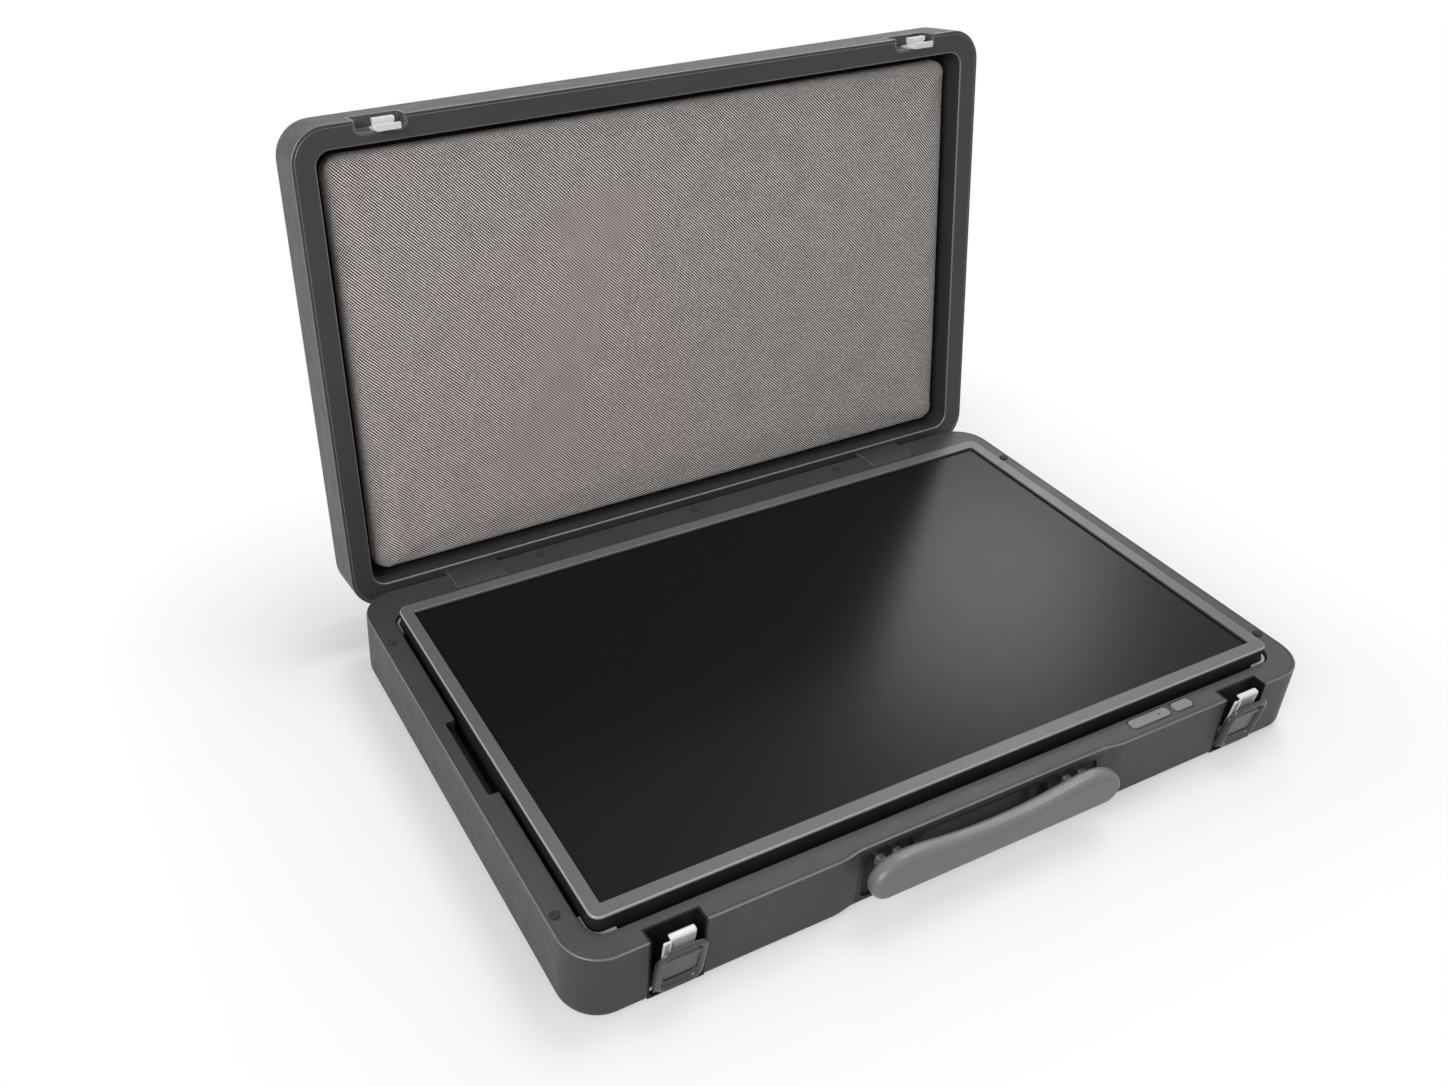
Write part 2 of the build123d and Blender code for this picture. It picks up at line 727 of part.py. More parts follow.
def hinge_bracket(side):
    """Steel bracket on the floor of the base, with a cheek each side of the arm."""
    inner = knuckle_w / 2 + 0.4
    x = side * hinge_x
    low = floor_z
    front = case_d - 20
    back = case_d - wall_t - bottom_r + wall_t
    body = plate(2 * inner + 2 * hinge_cheek_t, back - front, hinge_cheek_t, x, front, low)
    cheek = polygon((front, low), (back, low), (hinge_y + 2.2, hinge_z - 14), (hinge_y + 2.2, hinge_z + 5),
                    (hinge_y - 6, hinge_z + 5), (hinge_y - 8, hinge_z - 14))
    for s in (-1, 1):
        body += prism_x(cheek, hinge_cheek_t, x + s * (inner + hinge_cheek_t / 2))
    body -= rod_x(hinge_pin_r, 2 * inner + 3 * hinge_cheek_t, x, hinge_y, hinge_z)
    return body


def hinge_pin_length():
    return knuckle_w + 0.8 + 2 * hinge_cheek_t


def hinge_pins():
    """Steel pins through the brackets and the lid arms."""
    pins = Part()
    for side in (-1, 1):
        pins += rod_x(hinge_pin_r, hinge_pin_length(), side * hinge_x, hinge_y, hinge_z)
    return pins


def hinge_plate(side):
    """Steel plate inside the lid's rim that backs one arm."""
    depth = lid_rim - wall_t - 3.6
    return plate(knuckle_w + 16, depth, 3, side * hinge_x, case_d - wall_t - 1 - depth, rim_z + lid_frame_t, 3)


# ---------------------------------------------------------------- lid, drawn closed
def lid_shell():
    """Outer shell of the lid, with a large rolled edge."""
    body = plate(case_w, case_d, lid_t, 0, 0, rim_z, corner_r)
    body = fillet(edges_at(body, rim_z + lid_t), lid_edge_r)
    body = fillet(edges_at(body, rim_z), rim_edge_r)
    inner_h = lid_t - lid_top_t
    inside = plate(case_w - 2 * wall_t, case_d - 2 * wall_t, inner_h, 0, wall_t, rim_z, corner_r - wall_t)
    inside = chamfer(edges_at(inside, rim_z + inner_h), lid_edge_r - wall_t - 2)
    body -= inside
    for side in (-1, 1):
        body -= catch_hole(side)
    return body


def board_posts():
    """Twelve round spacers between the pad's board and the outer shell."""
    low = rim_z + pad_sink + pad_t + layer_gap * 4 + board_t
    high = rim_z + lid_t - lid_top_t - layer_gap
    posts = Part()
    for i in (-1.5, -0.5, 0.5, 1.5):
        for j in (-1, 0, 1):
            posts += rod_z(6, high - low, i * opening_w / 4.6, case_d / 2 + j * opening_d / 3, low)
    return posts


def catch_hole(side):
    """What the lid's shell and frame leave free for one catch pocket."""
    return pocket_slab(side * latch_x, bay_w / 2 + fit_gap, latch_depth + bay_t + fit_gap, rim_z - 1,
                       pocket_t + bay_t + fit_gap + 1, pocket_r + bay_t + fit_gap)


def lid_frame():
    """Flat rim of the lid and the wall of the recess that holds the pad."""
    inset = wall_t + seam
    board_z = rim_z + pad_sink + pad_t + layer_gap * 3
    body = plate(case_w - 2 * inset, case_d - 2 * inset, lid_frame_t, 0, inset, rim_z, corner_r - inset)
    body += plate(opening_w + 4, opening_d + 4, board_z - rim_z, 0, lid_rim - 2, rim_z, lid_opening_r + 2)
    body -= plate(opening_w, opening_d, lid_t, 0, lid_rim, rim_z - 1, lid_opening_r)
    inner_rim = [e for e in edges_at(body, rim_z) if abs(e.center().X) < opening_w / 2 + 1
                 and lid_rim - 1 < e.center().Y < case_d - lid_rim + 1]
    body = fillet(inner_rim, 1.2)
    for side in (-1, 1):
        body -= catch_hole(side)
    return body


def pad_block(width, depth, radius, low, height):
    return plate(width, depth, height, 0, (case_d - depth) / 2, low, radius)


def lid_pad():
    """Thick soft pad that fills the recess of the lid, slightly crowned towards the display."""
    width = opening_w - 2 * pad_gap
    depth = opening_d - 2 * pad_gap
    low = rim_z + pad_sink
    body = pad_block(width, depth, pad_r, low, pad_t)
    return fillet(edges_at(body, low), 3)


def pad_board():
    """Stiff board behind the pad."""
    low = rim_z + pad_sink + pad_t + layer_gap * 3
    return pad_block(opening_w + 3, opening_d + 3, lid_opening_r + 1.5, low, board_t)


# ---------------------------------------------------------------- display, lying in the well
def display_slab(z, height, inset):
    return plate(display_w - 2 * inset, display_d - 2 * inset, height, 0, display_front + inset, z,
                 max(display_r - inset, 1.0))


def display_cover():
    """Rear cover of the display: a shallow tray with rounded lower edges."""
    height = display_t - bezel_t - layer_gap
    body = display_slab(display_z, height, 0.5)
    body = fillet(edges_at(body, display_z), 4)
    body -= display_slab(display_z + cover_t, height, cover_t + 0.5)
    for x in (-display_w / 3, display_w / 3):
        for y in (display_front + 60, display_front + display_d - 60):
            body += rod_z(5, frame_z() - display_z - cover_t, x, y, display_z + cover_t)
    return body


def glass_z():
    return display_top - bezel_t - layer_gap - glass_t


def lcd_z():
    return glass_z() - layer_gap - lcd_t


def frame_z():
    return lcd_z() - layer_gap - panel_frame_t


def screen_bezel():
    """Light frame round the screen, with a bright chamfered outer edge and a deep inner lip."""
    body = display_slab(display_top - bezel_t, bezel_t, 0)
    body = chamfer(edges_at(body, display_top), bezel_edge)
    opening = plate(display_w - 2 * bezel_w, display_d - 2 * bezel_w, bezel_t + 2, 0, display_front + bezel_w,
                    display_top - bezel_t - 1, 1.5)
    return body - opening


def screen_sheet(z, height, lap):
    return plate(display_w - 2 * bezel_w + 2 * lap, display_d - 2 * bezel_w + 2 * lap, height, 0,
                 display_front + bezel_w - lap, z)


def screen_glass():
    return screen_sheet(glass_z(), glass_t, panel_lap)


def lcd_panel():
    return screen_sheet(lcd_z(), lcd_t, panel_lap)


def panel_frame():
    """Pressed metal chassis behind the panel, with lightening holes."""
    body = screen_sheet(frame_z(), panel_frame_t, panel_lap)
    for i in (-1, 0, 1):
        for j in (-1, 1):
            body -= plate(display_w / 6, display_d / 5, 10, i * display_w / 4,
                          display_front + display_d / 2 + j * display_d / 4 - display_d / 10, frame_z() - 2, 12)
    return body


def display_board():
    """Driver board of the panel, on the inside of the rear cover."""
    low = display_z + cover_t
    body = plate(150, 60, 1.6, -display_w / 5, display_front + display_d / 2 - 30, low + 3)
    for x in (-60, 60):
        body += plate(8, 50, 3, -display_w / 5 + x, display_front + display_d / 2 - 25, low)
    for x in (-40, -5, 30):
        body += plate(20, 20, 2.2, -display_w / 5 + x, display_front + display_d / 2 - 10, low + 4.6)
    return body


def tilt_bracket():
    """Plate on the display's back, with two lugs that carry the arm's head pin."""
    width = arm_w + 2 * arm_cheek_t + 1.2
    plate_t = 3.0
    low = display_z - plate_t
    half = 32.0
    body = plate(width + 44, 2 * half, plate_t, 0, head_y - half, low, 8)
    lug = polygon((head_y - 16, low), (head_y + 16, low), (head_y + 5, arm_z - 4.5), (head_y - 5, arm_z - 4.5))
    for s in (-1, 1):
        body += prism_x(lug, arm_cheek_t, s * (width / 2 - arm_cheek_t / 2))
    body -= rod_x(arm_pin_r, width + 2, 0, head_y, arm_z)
    body -= plate(arm_w + 1.2, 24, 10, 0, head_y - 12, low - 0.01 + 0.8 - 10)
    return body


def tilt_pin():
    return rod_x(arm_pin_r, arm_w + 2 * arm_cheek_t + 1.2, 0, head_y, arm_z)


def lift_arm():
    """Flat cast arm with a round eye at each end and a ribbed hollow between them."""
    t = arm_t / 2 - 1.0
    length = arm_y - head_y
    body = rod_x(t, arm_w, 0, head_y, arm_z) + rod_x(t, arm_w, 0, arm_y, arm_z)
    body += plate(arm_w, length, 2 * t, 0, head_y, arm_z - t)
    for i in range(3):
        cell = length / 3 - 12
        front = head_y + 12 + i * (cell + 9)
        body -= plate(arm_w - 16, cell, 2 * t - 3, 0, front, arm_z - t - 1, 4)
    for y in (head_y, arm_y):
        body -= rod_x(arm_pin_r + running_fit, arm_w + 2, 0, y, arm_z)
    return body


def arm_bracket():
    """Steel foot of the lifting arm, bolted to the chassis plate."""
    width = arm_w + 2 * arm_cheek_t + 1.2
    low = well_floor_z
    base_t = 1.2
    body = plate(width + 30, 30, base_t, 0, arm_y - 16, low)
    cheek = polygon((arm_y - 12, low), (arm_y + 12, low), (arm_y + 5, arm_z + 5), (arm_y - 5, arm_z + 5))
    for s in (-1, 1):
        body += prism_x(cheek, arm_cheek_t, s * (width / 2 - arm_cheek_t / 2))
    return body - rod_x(arm_pin_r, width + 2, 0, arm_y, arm_z)


def arm_pin():
    return rod_x(arm_pin_r, arm_w + 2 * arm_cheek_t + 1.2, 0, arm_y, arm_z)


# ---------------------------------------------------------------- electronics under the display
def battery_pack():
    """Flat pack of cells in a wrapped block with a rounded edge."""
    front = deck_front + board_front_in + main_board_d + board_gap
    depth = case_d / 2 + battery_back_in - front
    height = inner_room - battery_head
    body = plate(battery_w, depth, height, 0, front, floor_z, 5)
    return fillet(edges_at(body, floor_z + height), 2)


def main_board():
    """Main circuit board on stand-offs, with a heat spreader and chips."""
    x, front, low = -case_w / 4, deck_front + board_front_in, floor_z
    body = plate(main_board_w, main_board_d, 1.6, x, front, low + 6)
    for dx in (-main_board_w / 2 + 10, main_board_w / 2 - 10):
        for dy in (8, main_board_d - 8):
            body += rod_z(3, 6.2, x + dx, front + dy, low)
    body += plate(60, 60, 5, x, front + 30, low + 7.6)
    for i in range(4):
        body += plate(14, 14, 2, x - 70 + i * 44, front + 98, low + 7.6)
    return body


def power_board():
    """Charger and amplifier board, on stand-offs beside the battery."""
    x, front, low = case_w / 4, deck_front + board_front_in, floor_z
    body = plate(power_board_w, power_board_d, 1.6, x, front, low + 6)
    for dx in (-power_board_w / 2 + 10, power_board_w / 2 - 10):
        for dy in (8, power_board_d - 8):
            body += rod_z(3, 6.2, x + dx, front + dy, low)
    for i in range(3):
        body += rod_z(8, inner_room - cap_head, x - 40 + i * 40, front + power_board_d / 2, low + 7.6)
    return body


def speaker_x():
    return half_w - deck_side - 62


def speaker_box(side):
    """Sealed box behind one speaker, open where its driver sits."""
    x = side * speaker_x()
    body = plate(90, 120, inner_room - speaker_head, x, case_d / 2 - 5, floor_z, 6)
    body -= rod_z(24.2, inner_room, x, case_d / 2 + 55, floor_z + 6)
    return body


def speaker_drivers():
    """Two round drivers with a basket, a cone and a dust cap."""
    pair = Part()
    for side in (-1, 1):
        x = side * speaker_x()
        y = case_d / 2 + 55
        height = inner_room - speaker_head - 6
        body = rod_z(24, height, x, y, floor_z + 6)
        cone = Pos(x, y, floor_z + height - 1) * Cone(8, 21, 7.02, align=(Align.CENTER, Align.CENTER, Align.MIN))
        body -= cone
        pair += body + rod_z(7, 3, x, y, floor_z + height - 1)
    return pair


# ---------------------------------------------------------------- controls
def button_shape(x, length, grow, z, height):
    shape = RectangleRounded(length + 2 * grow, button_w + 2 * grow, 3.4 + grow)
    return Pos(x, button_y, z) * extrude(shape, height)


def button_board_z():
    return deck_z - deck_t - button_depth - 1.6


def control(x, length):
    """A button that stands just proud of the deck, with a flange under it and a stem."""
    top = deck_z + button_proud
    body = button_shape(x, length, 0, deck_z - deck_t - 1.4, button_proud + deck_t + 1.4)
    body = fillet(edges_at(body, top), 0.6)
    flange = RectangleRounded(length + 2.4, button_w + 1.2, 3.4)
    body += Pos(x, button_y, deck_z - deck_t - 2.6) * extrude(flange, 1.4)
    stem = 1.6
    return body + rod_z(stem, button_depth - 3.9, x, button_y, deck_z - deck_t - button_depth + 1.4)


def button_board():
    """Small circuit board under the two controls."""
    x0 = rocker_x - rocker_l / 2 - 6
    x1 = power_x + power_l / 2 + 7
    return plate(x1 - x0, 9, 1.6, (x0 + x1) / 2, button_y - 4.5, button_board_z())


# ---------------------------------------------------------------- assembly
def base_nodes():
    nodes = {
        "base_tray": base_tray(),
        "deck_panel": deck_panel(),
        "well_floor": well_floor(),
        "feet": feet(),
        "deck_bumpers": deck_bumpers(),
        "corner_cradles": corner_cradles(),
        "base_screws": base_screws(),
        "handle_bay": handle_bay(),
        "handle_grip": handle_grip(),
        "handle_posts": handle_posts(),
        "handle_stops": handle_stops(),
        "latch_pins": latch_pins(),
        "hinge_pins": hinge_pins(),
        "battery_pack": battery_pack(),
        "main_board": main_board(),
        "power_board": power_board(),
        "speaker_drivers": speaker_drivers(),
        "button_board": button_board(),
        "volume_rocker": control(rocker_x, rocker_l),
        "power_button": control(power_x, power_l),
        "arm_bracket": arm_bracket(),
        "arm_pin": arm_pin(),
        "lift_arm": lift_arm(),
        "tilt_bracket": tilt_bracket(),
        "tilt_pin": tilt_pin(),
        "display_cover": display_cover(),
        "screen_bezel": screen_bezel(),
        "screen_glass": screen_glass(),
        "lcd_panel": lcd_panel(),
        "panel_frame": panel_frame(),
        "display_board": display_board(),
    }
    pairs = {"latch_bay": latch_bay, "latch_lever": latch_lever, "hook_pin": hook_pin, "latch_hook": latch_hook,
             "handle_guide": handle_guide, "hinge_bracket": hinge_bracket, "hinge_arm": hinge_arm,
             "speaker_box": speaker_box}
    for name, build in pairs.items():
        for side, solid in mirrored(build).items():
            nodes[f"{name}_{side}"] = solid
    return nodes


def lid_nodes():
    """Everything that is drawn closed and swings with the lid."""
    nodes = {
        "lid_shell": lid_shell(),
        "lid_frame": lid_frame(),
        "lid_pad": lid_pad(),
        "pad_board": pad_board(),
        "board_posts": board_posts(),
    }
    pairs = {"catch_bay": catch_bay, "latch_catch": latch_catch, "hinge_plate": hinge_plate}
    for name, build in pairs.items():
        for side, solid in mirrored(build).items():
            nodes[f"{name}_{side}"] = solid
    axis = Axis((0, hinge_y, hinge_z), (1, 0, 0))
    return {name: solid.rotate(axis, lid_ang) for name, solid in nodes.items()}


def middle_of_case():
    """Half way from the front of the grip to the back of the open lid."""
    a = math.radians(lid_open_deg)
    top_y, top_z = -hinge_y + lid_edge_r, rim_z + lid_t - hinge_z
    back = hinge_y + top_y * math.cos(a) + top_z * math.sin(a)
    return (back - handle_out) / 2


def main():
    os.makedirs("parts", exist_ok=True)
    home = Pos(0, -middle_of_case(), 0)
    for name, solid in {**base_nodes(), **lid_nodes()}.items():
        export_step(home * solid, f"parts/{name}.step")
    for label, y, z in (("lid hinge", hinge_y, hinge_z), ("lever", lever_pivot_y, lever_pivot_z),
                        ("hook", hook_axis().position.Y, hook_axis().position.Z), ("arm", arm_y, arm_z),
                        ("head", head_y, arm_z)):
        print(f"{label} axis y {y - middle_of_case():.4f} z {z:.4f}")
    print(f"front of base y {-middle_of_case():.4f}")


main()
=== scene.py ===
import json
import math

import bmesh
import bpy
from bpy.props import FloatProperty, FloatVectorProperty, IntProperty, PointerProperty
from mathutils import Matrix, Vector


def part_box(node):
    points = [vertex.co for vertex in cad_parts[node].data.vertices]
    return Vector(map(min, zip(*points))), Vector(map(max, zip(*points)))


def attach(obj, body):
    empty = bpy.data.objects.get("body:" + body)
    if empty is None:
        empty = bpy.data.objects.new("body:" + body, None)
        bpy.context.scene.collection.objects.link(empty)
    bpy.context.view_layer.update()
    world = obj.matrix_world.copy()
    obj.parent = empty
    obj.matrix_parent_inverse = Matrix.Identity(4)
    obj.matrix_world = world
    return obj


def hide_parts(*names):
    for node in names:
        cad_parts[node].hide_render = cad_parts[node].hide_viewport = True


bl_info = {
    "name": "Display carrying case",
    "version": (1, 0, 0),
    "blender": (4, 5, 0),
    "location": "3D View > Sidebar > Case",
    "description": "Dresses a hard carrying case with a built-in flat display",
    "category": "Object",
}

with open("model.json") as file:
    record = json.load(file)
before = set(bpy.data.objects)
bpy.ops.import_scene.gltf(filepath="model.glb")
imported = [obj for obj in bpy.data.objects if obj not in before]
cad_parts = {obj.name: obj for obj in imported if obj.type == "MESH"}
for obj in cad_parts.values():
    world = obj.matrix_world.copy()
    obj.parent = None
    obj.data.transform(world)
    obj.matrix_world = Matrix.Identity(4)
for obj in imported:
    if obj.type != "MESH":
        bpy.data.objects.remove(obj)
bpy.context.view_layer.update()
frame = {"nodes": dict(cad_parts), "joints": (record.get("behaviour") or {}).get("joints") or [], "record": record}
NODES = frame["nodes"]
BODY_OF = {node: body for body, group in frame["record"]["behaviour"]["bodies"].items() for node in group}
SLOT_OF = {part["node"]: part["material_slot"] for part in frame["record"]["subparts"]}

MM = 0.001
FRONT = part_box("base_tray")[0].y
WELD = 0.000004                 # points closer than this, in metres, are one point
FLAT = math.radians(0.5)        # faces that meet at less than this are one flat
CUT_SLIP = 0.000001             # how near a cutting plane, in metres, a point counts as on it


def joint(name):
    return next(j for j in frame["joints"] if j["name"] == name)


def turned(about, angle):
    """A turn round the X direction through a point."""
    return Matrix.Translation(about) @ Matrix.Rotation(angle, 4, "X") @ Matrix.Translation(-about)


# The lid's pieces are shaped with the lid shut, and then swung open with this.
LID_OPEN = math.radians(-joint("lid_hinge")["range_deg"][0])
SWING = turned(Vector(joint("lid_hinge")["pos_m"]), -LID_OPEN)


# ---------------------------------------------------------------- what a user would change
class CaseLook(bpy.types.PropertyGroup):
    shell_colour: FloatVectorProperty(name="Case", description="Colour of the moulded tray and lid",
                                      subtype="COLOR", size=3, min=0, max=1, default=(0.043, 0.043, 0.046))
    deck_colour: FloatVectorProperty(name="Deck", description="Colour of the deck and the lid's rim",
                                     subtype="COLOR", size=3, min=0, max=1, default=(0.042, 0.042, 0.044))
    grip_colour: FloatVectorProperty(name="Grip", description="Colour of the handle's soft grip",
                                     subtype="COLOR", size=3, min=0, max=1, default=(0.170, 0.170, 0.175))
    latch_colour: FloatVectorProperty(name="Latches", description="Colour of the latch levers",
                                      subtype="COLOR", size=3, min=0, max=1, default=(0.036, 0.036, 0.038))
    # The pockets' colour is the deck plastic made about twice as light: painted light on their walls.
    pocket_painted_light: FloatVectorProperty(name="Pockets", description="Colour of the pockets round the catches",
                                       subtype="COLOR", size=3, min=0, max=1, default=(0.085, 0.085, 0.090))
    hook_colour: FloatVectorProperty(name="Hooks", description="Colour of the latch hooks and catches",
                                     subtype="COLOR", size=3, min=0, max=1, default=(0.78, 0.78, 0.77))
    bezel_colour: FloatVectorProperty(name="Bezel", description="Colour of the frame round the screen",
                                      subtype="COLOR", size=3, min=0, max=1, default=(0.120, 0.120, 0.123))
    button_colour: FloatVectorProperty(name="Buttons", description="Colour of the rocker and the button",
                                       subtype="COLOR", size=3, min=0, max=1, default=(0.20, 0.20, 0.205))
    edge_ease: FloatProperty(name="Edge ease", description="Rounding of the moulded edges",
                             subtype="DISTANCE", unit="LENGTH", min=0, max=0.002, default=0.0004)


class CoverLook(bpy.types.PropertyGroup):
    light_yarn: FloatVectorProperty(name="Light yarn", description="Colour of the light yarn of the weave",
                                    subtype="COLOR", size=3, min=0, max=1, default=(0.93, 0.875, 0.845))
    dark_yarn: FloatVectorProperty(name="Dark yarn", description="Colour of the dark yarn of the weave",
                                   subtype="COLOR", size=3, min=0, max=1, default=(0.012, 0.010, 0.009))
    yarn_pitch: FloatProperty(name="Yarn pitch", description="Distance from one yarn to the next",
                              subtype="DISTANCE", unit="LENGTH", min=0.0005, max=0.01, default=0.00144)
    reach: FloatProperty(name="Reach", description="How far the cover is wrapped past the sides of the board",
                         subtype="DISTANCE", unit="LENGTH", min=0, max=0.004, default=0.0026)
    slack: FloatProperty(name="Slack", description="How far under size the pad is before it is stuffed",
                         subtype="DISTANCE", unit="LENGTH", min=0, max=0.003, default=0.0004)
    swell: FloatProperty(name="Swell", description="The most that the stuffing may move a point of the cover",
                         subtype="DISTANCE", unit="LENGTH", min=0, max=0.005, default=0.0022)
    corner_round: FloatProperty(name="Corner rounding", description="Radius of the pad's corners",
                                subtype="DISTANCE", unit="LENGTH", min=0.001, max=0.03, default=0.0155)
    edge_round: FloatProperty(name="Edge rounding", description="Radius of the pad's rolled edge",
                              subtype="DISTANCE", unit="LENGTH", min=0.001, max=0.01, default=0.0025)
    rows: IntProperty(name="Rows", description="Rows of faces up the pad before it is stuffed", min=8, max=200,
                      default=60)
    voxel: FloatProperty(name="Voxel", description="Grid that the pad is remeshed to before it is stuffed",
                         subtype="DISTANCE", unit="LENGTH", min=0.003, max=0.01, default=0.0045)
    pressure: FloatProperty(name="Pressure", description="Stuffing that swells the pad", min=0, max=20, default=4)


class LatchLook(bpy.types.PropertyGroup):
    lean: FloatProperty(name="Lean", description="How far the levers lean out of their pockets as shown",
                        subtype="ANGLE", unit="ROTATION", min=0, max=1, default=math.radians(8))
    rim_width: FloatProperty(name="Rim width", description="Width of the levers' rolled rim",
                             subtype="DISTANCE", unit="LENGTH", min=0.001, max=0.01, default=0.0056)
    rim_crest: FloatProperty(name="Rim crest", description="How far the rim stands out from the lever's face",
                             subtype="DISTANCE", unit="LENGTH", min=0, max=0.004, default=0.0024)
    rim_sink: FloatProperty(name="Rim sink", description="How far the rim's inner side goes down behind the face",
                            subtype="DISTANCE", unit="LENGTH", min=0, max=0.004, default=0.0016)
    rim_seat: FloatProperty(name="Rim seat", description="How deep the rim is seated in the lever",
                            subtype="DISTANCE", unit="LENGTH", min=0, max=0.003, default=0.0008)
    rim_over: FloatProperty(name="Rim overhang", description="How far the rim passes the lever's top",
                            subtype="DISTANCE", unit="LENGTH", min=0, max=0.012, default=0.0095)
    top_round: FloatProperty(name="Top rounding", description="Radius of the levers' upper corners",
                             subtype="DISTANCE", unit="LENGTH", min=0.001, max=0.015, default=0.009)
    foot_round: FloatProperty(name="Foot rounding", description="Radius of the levers' lower corners",
                              subtype="DISTANCE", unit="LENGTH", min=0.001, max=0.015, default=0.011)
    rim_lift: FloatProperty(name="Rim lift", description="How far above the levers' foot the rim starts",
                            subtype="DISTANCE", unit="LENGTH", min=0, max=0.004, default=0.0009)
    face_foot: FloatProperty(name="Face foot", description="Height of the lower edge of the levers' face",
                             subtype="DISTANCE", unit="LENGTH", min=0.01, max=0.03, default=0.0208)
    face_sink: FloatProperty(name="Face sink", description="How deep the levers' face lies behind their front",
                             subtype="DISTANCE", unit="LENGTH", min=0, max=0.003, default=0.0013)
    face_thick: FloatProperty(name="Face thickness", description="Thickness of the levers' face",
                              subtype="DISTANCE", unit="LENGTH", min=0.0002, max=0.002, default=0.0008)
    hook_plain: FloatProperty(name="Plain foot", description="Height of the hooks' foot, whose edges stay sharp",
                              subtype="DISTANCE", unit="LENGTH", min=0, max=0.04, default=0.025)
    hook_round: FloatProperty(name="Hook rounding", description="Rounding of the hooks' edges",
                              subtype="DISTANCE", unit="LENGTH", min=0, max=0.002, default=0.0012)
    # The black ring round each button is painted shade in its groove.
    groove: FloatProperty(name="Button groove", description="Width of the dark groove round each button",
                          subtype="DISTANCE", unit="LENGTH", min=0, max=0.003, default=0.0008)
    dot: FloatProperty(name="Rocker dot", description="Radius of the dot moulded in the rocker",
                       subtype="DISTANCE", unit="LENGTH", min=0, max=0.003, default=0.0009)


# ---------------------------------------------------------------- materials
def new_material(name, colour, roughness, **values):
    """A Principled material; its node tree and its shader come back with it."""
    material = bpy.data.materials.new(name)
    material.use_nodes = True
    tree = material.node_tree
    shader = tree.nodes["Principled BSDF"]
    shader.inputs["Base Color"].default_value = (*colour, 1)
    shader.inputs["Roughness"].default_value = roughness
    for key, value in values.items():
        shader.inputs[key].default_value = value
    return material, tree, shader


def object_noise(tree, scale, detail=2.0, roughness=0.5, stretch=(1, 1, 1)):
    """Noise that is fixed to the piece; scale is in blotches per metre."""
    place = tree.nodes.new("ShaderNodeTexCoord")
    mapping = tree.nodes.new("ShaderNodeMapping")
    mapping.inputs["Scale"].default_value = stretch
    noise = tree.nodes.new("ShaderNodeTexNoise")
    noise.inputs["Scale"].default_value = scale
    noise.inputs["Detail"].default_value = detail
    noise.inputs["Roughness"].default_value = roughness
    tree.links.new(place.outputs["Object"], mapping.inputs["Vector"])
    tree.links.new(mapping.outputs["Vector"], noise.inputs["Vector"])
    return noise.outputs["Fac"]


def spread(tree, value, low, high, start=0.3, end=0.7):
    """Stretches a 0 to 1 value between two limits."""
    node = tree.nodes.new("ShaderNodeMapRange")
    node.inputs["From Min"].default_value = start
    node.inputs["From Max"].default_value = end
    node.inputs["To Min"].default_value = low
    node.inputs["To Max"].default_value = high
    tree.links.new(value, node.inputs["Value"])
    return node.outputs["Result"]


def mix_colours(tree, factor, first, second):
    """A colour between two, each of them plain or from a node."""
    node = tree.nodes.new("ShaderNodeMix")
    node.data_type = "RGBA"
    for socket, value in ((node.inputs[6], first), (node.inputs[7], second)):
        if isinstance(value, bpy.types.NodeSocket):
            tree.links.new(value, socket)
        else:
            socket.default_value = (*value, 1)
    tree.links.new(factor, node.inputs[0])
    return node.outputs[2]


def raise_grain(tree, shader, height, strength, distance):
    """Gives a finish its relief."""
    bump = tree.nodes.new("ShaderNodeBump")
    bump.inputs["Strength"].default_value = strength
    bump.inputs["Distance"].default_value = distance
    tree.links.new(height, bump.inputs["Height"])
    tree.links.new(bump.outputs["Normal"], shader.inputs["Normal"])


def seen_directly(tree):
    """1 for what the camera sees, straight or in metal and glass, and 0 for light that falls on the case."""
    path = tree.nodes.new("ShaderNodeLightPath")
    seen = path.outputs["Is Camera Ray"]
    for name in ("Is Glossy Ray", "Is Transmission Ray"):
        either = tree.nodes.new("ShaderNodeMath")
        either.operation = "MAXIMUM"
        tree.links.new(seen, either.inputs[0])
        tree.links.new(path.outputs[name], either.inputs[1])
        seen = either.outputs[0]
    return seen


def shade(colour, amount):
    return tuple(min(1.0, c * amount) for c in colour)


def moulded(name, colour, roughness=0.5, grain=900, depth=0.00006, vary=0.06, gloss=0.35):
    """Moulded plastic: a fine spark-eroded grain, with slight flow marks in colour and gloss."""
    material, tree, shader = new_material(name, colour, roughness)
    material.diffuse_color = (*colour, 1)
    shader.inputs["Specular IOR Level"].default_value = gloss
    blotch = object_noise(tree, 14, detail=3)
    tint = mix_colours(tree, spread(tree, blotch, 0, 1), shade(colour, 1 - vary), shade(colour, 1 + vary))
    tree.links.new(tint, shader.inputs["Base Color"])
    polish = object_noise(tree, 60, detail=4, roughness=0.6)
    tree.links.new(spread(tree, polish, roughness - 0.05, roughness + 0.05), shader.inputs["Roughness"])
    raise_grain(tree, shader, object_noise(tree, grain, detail=2), 0.35, depth)
    return material


def brushed(name, colour, roughness=0.32, along=(1, 1, 1), metal=1.0):
    """Drawn or turned metal with fine lines."""
    material, tree, shader = new_material(name, colour, roughness, Metallic=metal)
    lines = object_noise(tree, 500, detail=3, stretch=along)
    tree.links.new(spread(tree, lines, roughness - 0.08, roughness + 0.1), shader.inputs["Roughness"])
    tint = mix_colours(tree, spread(tree, lines, 0, 1), shade(colour, 0.9), shade(colour, 1.06))
    tree.links.new(tint, shader.inputs["Base Color"])
    return material


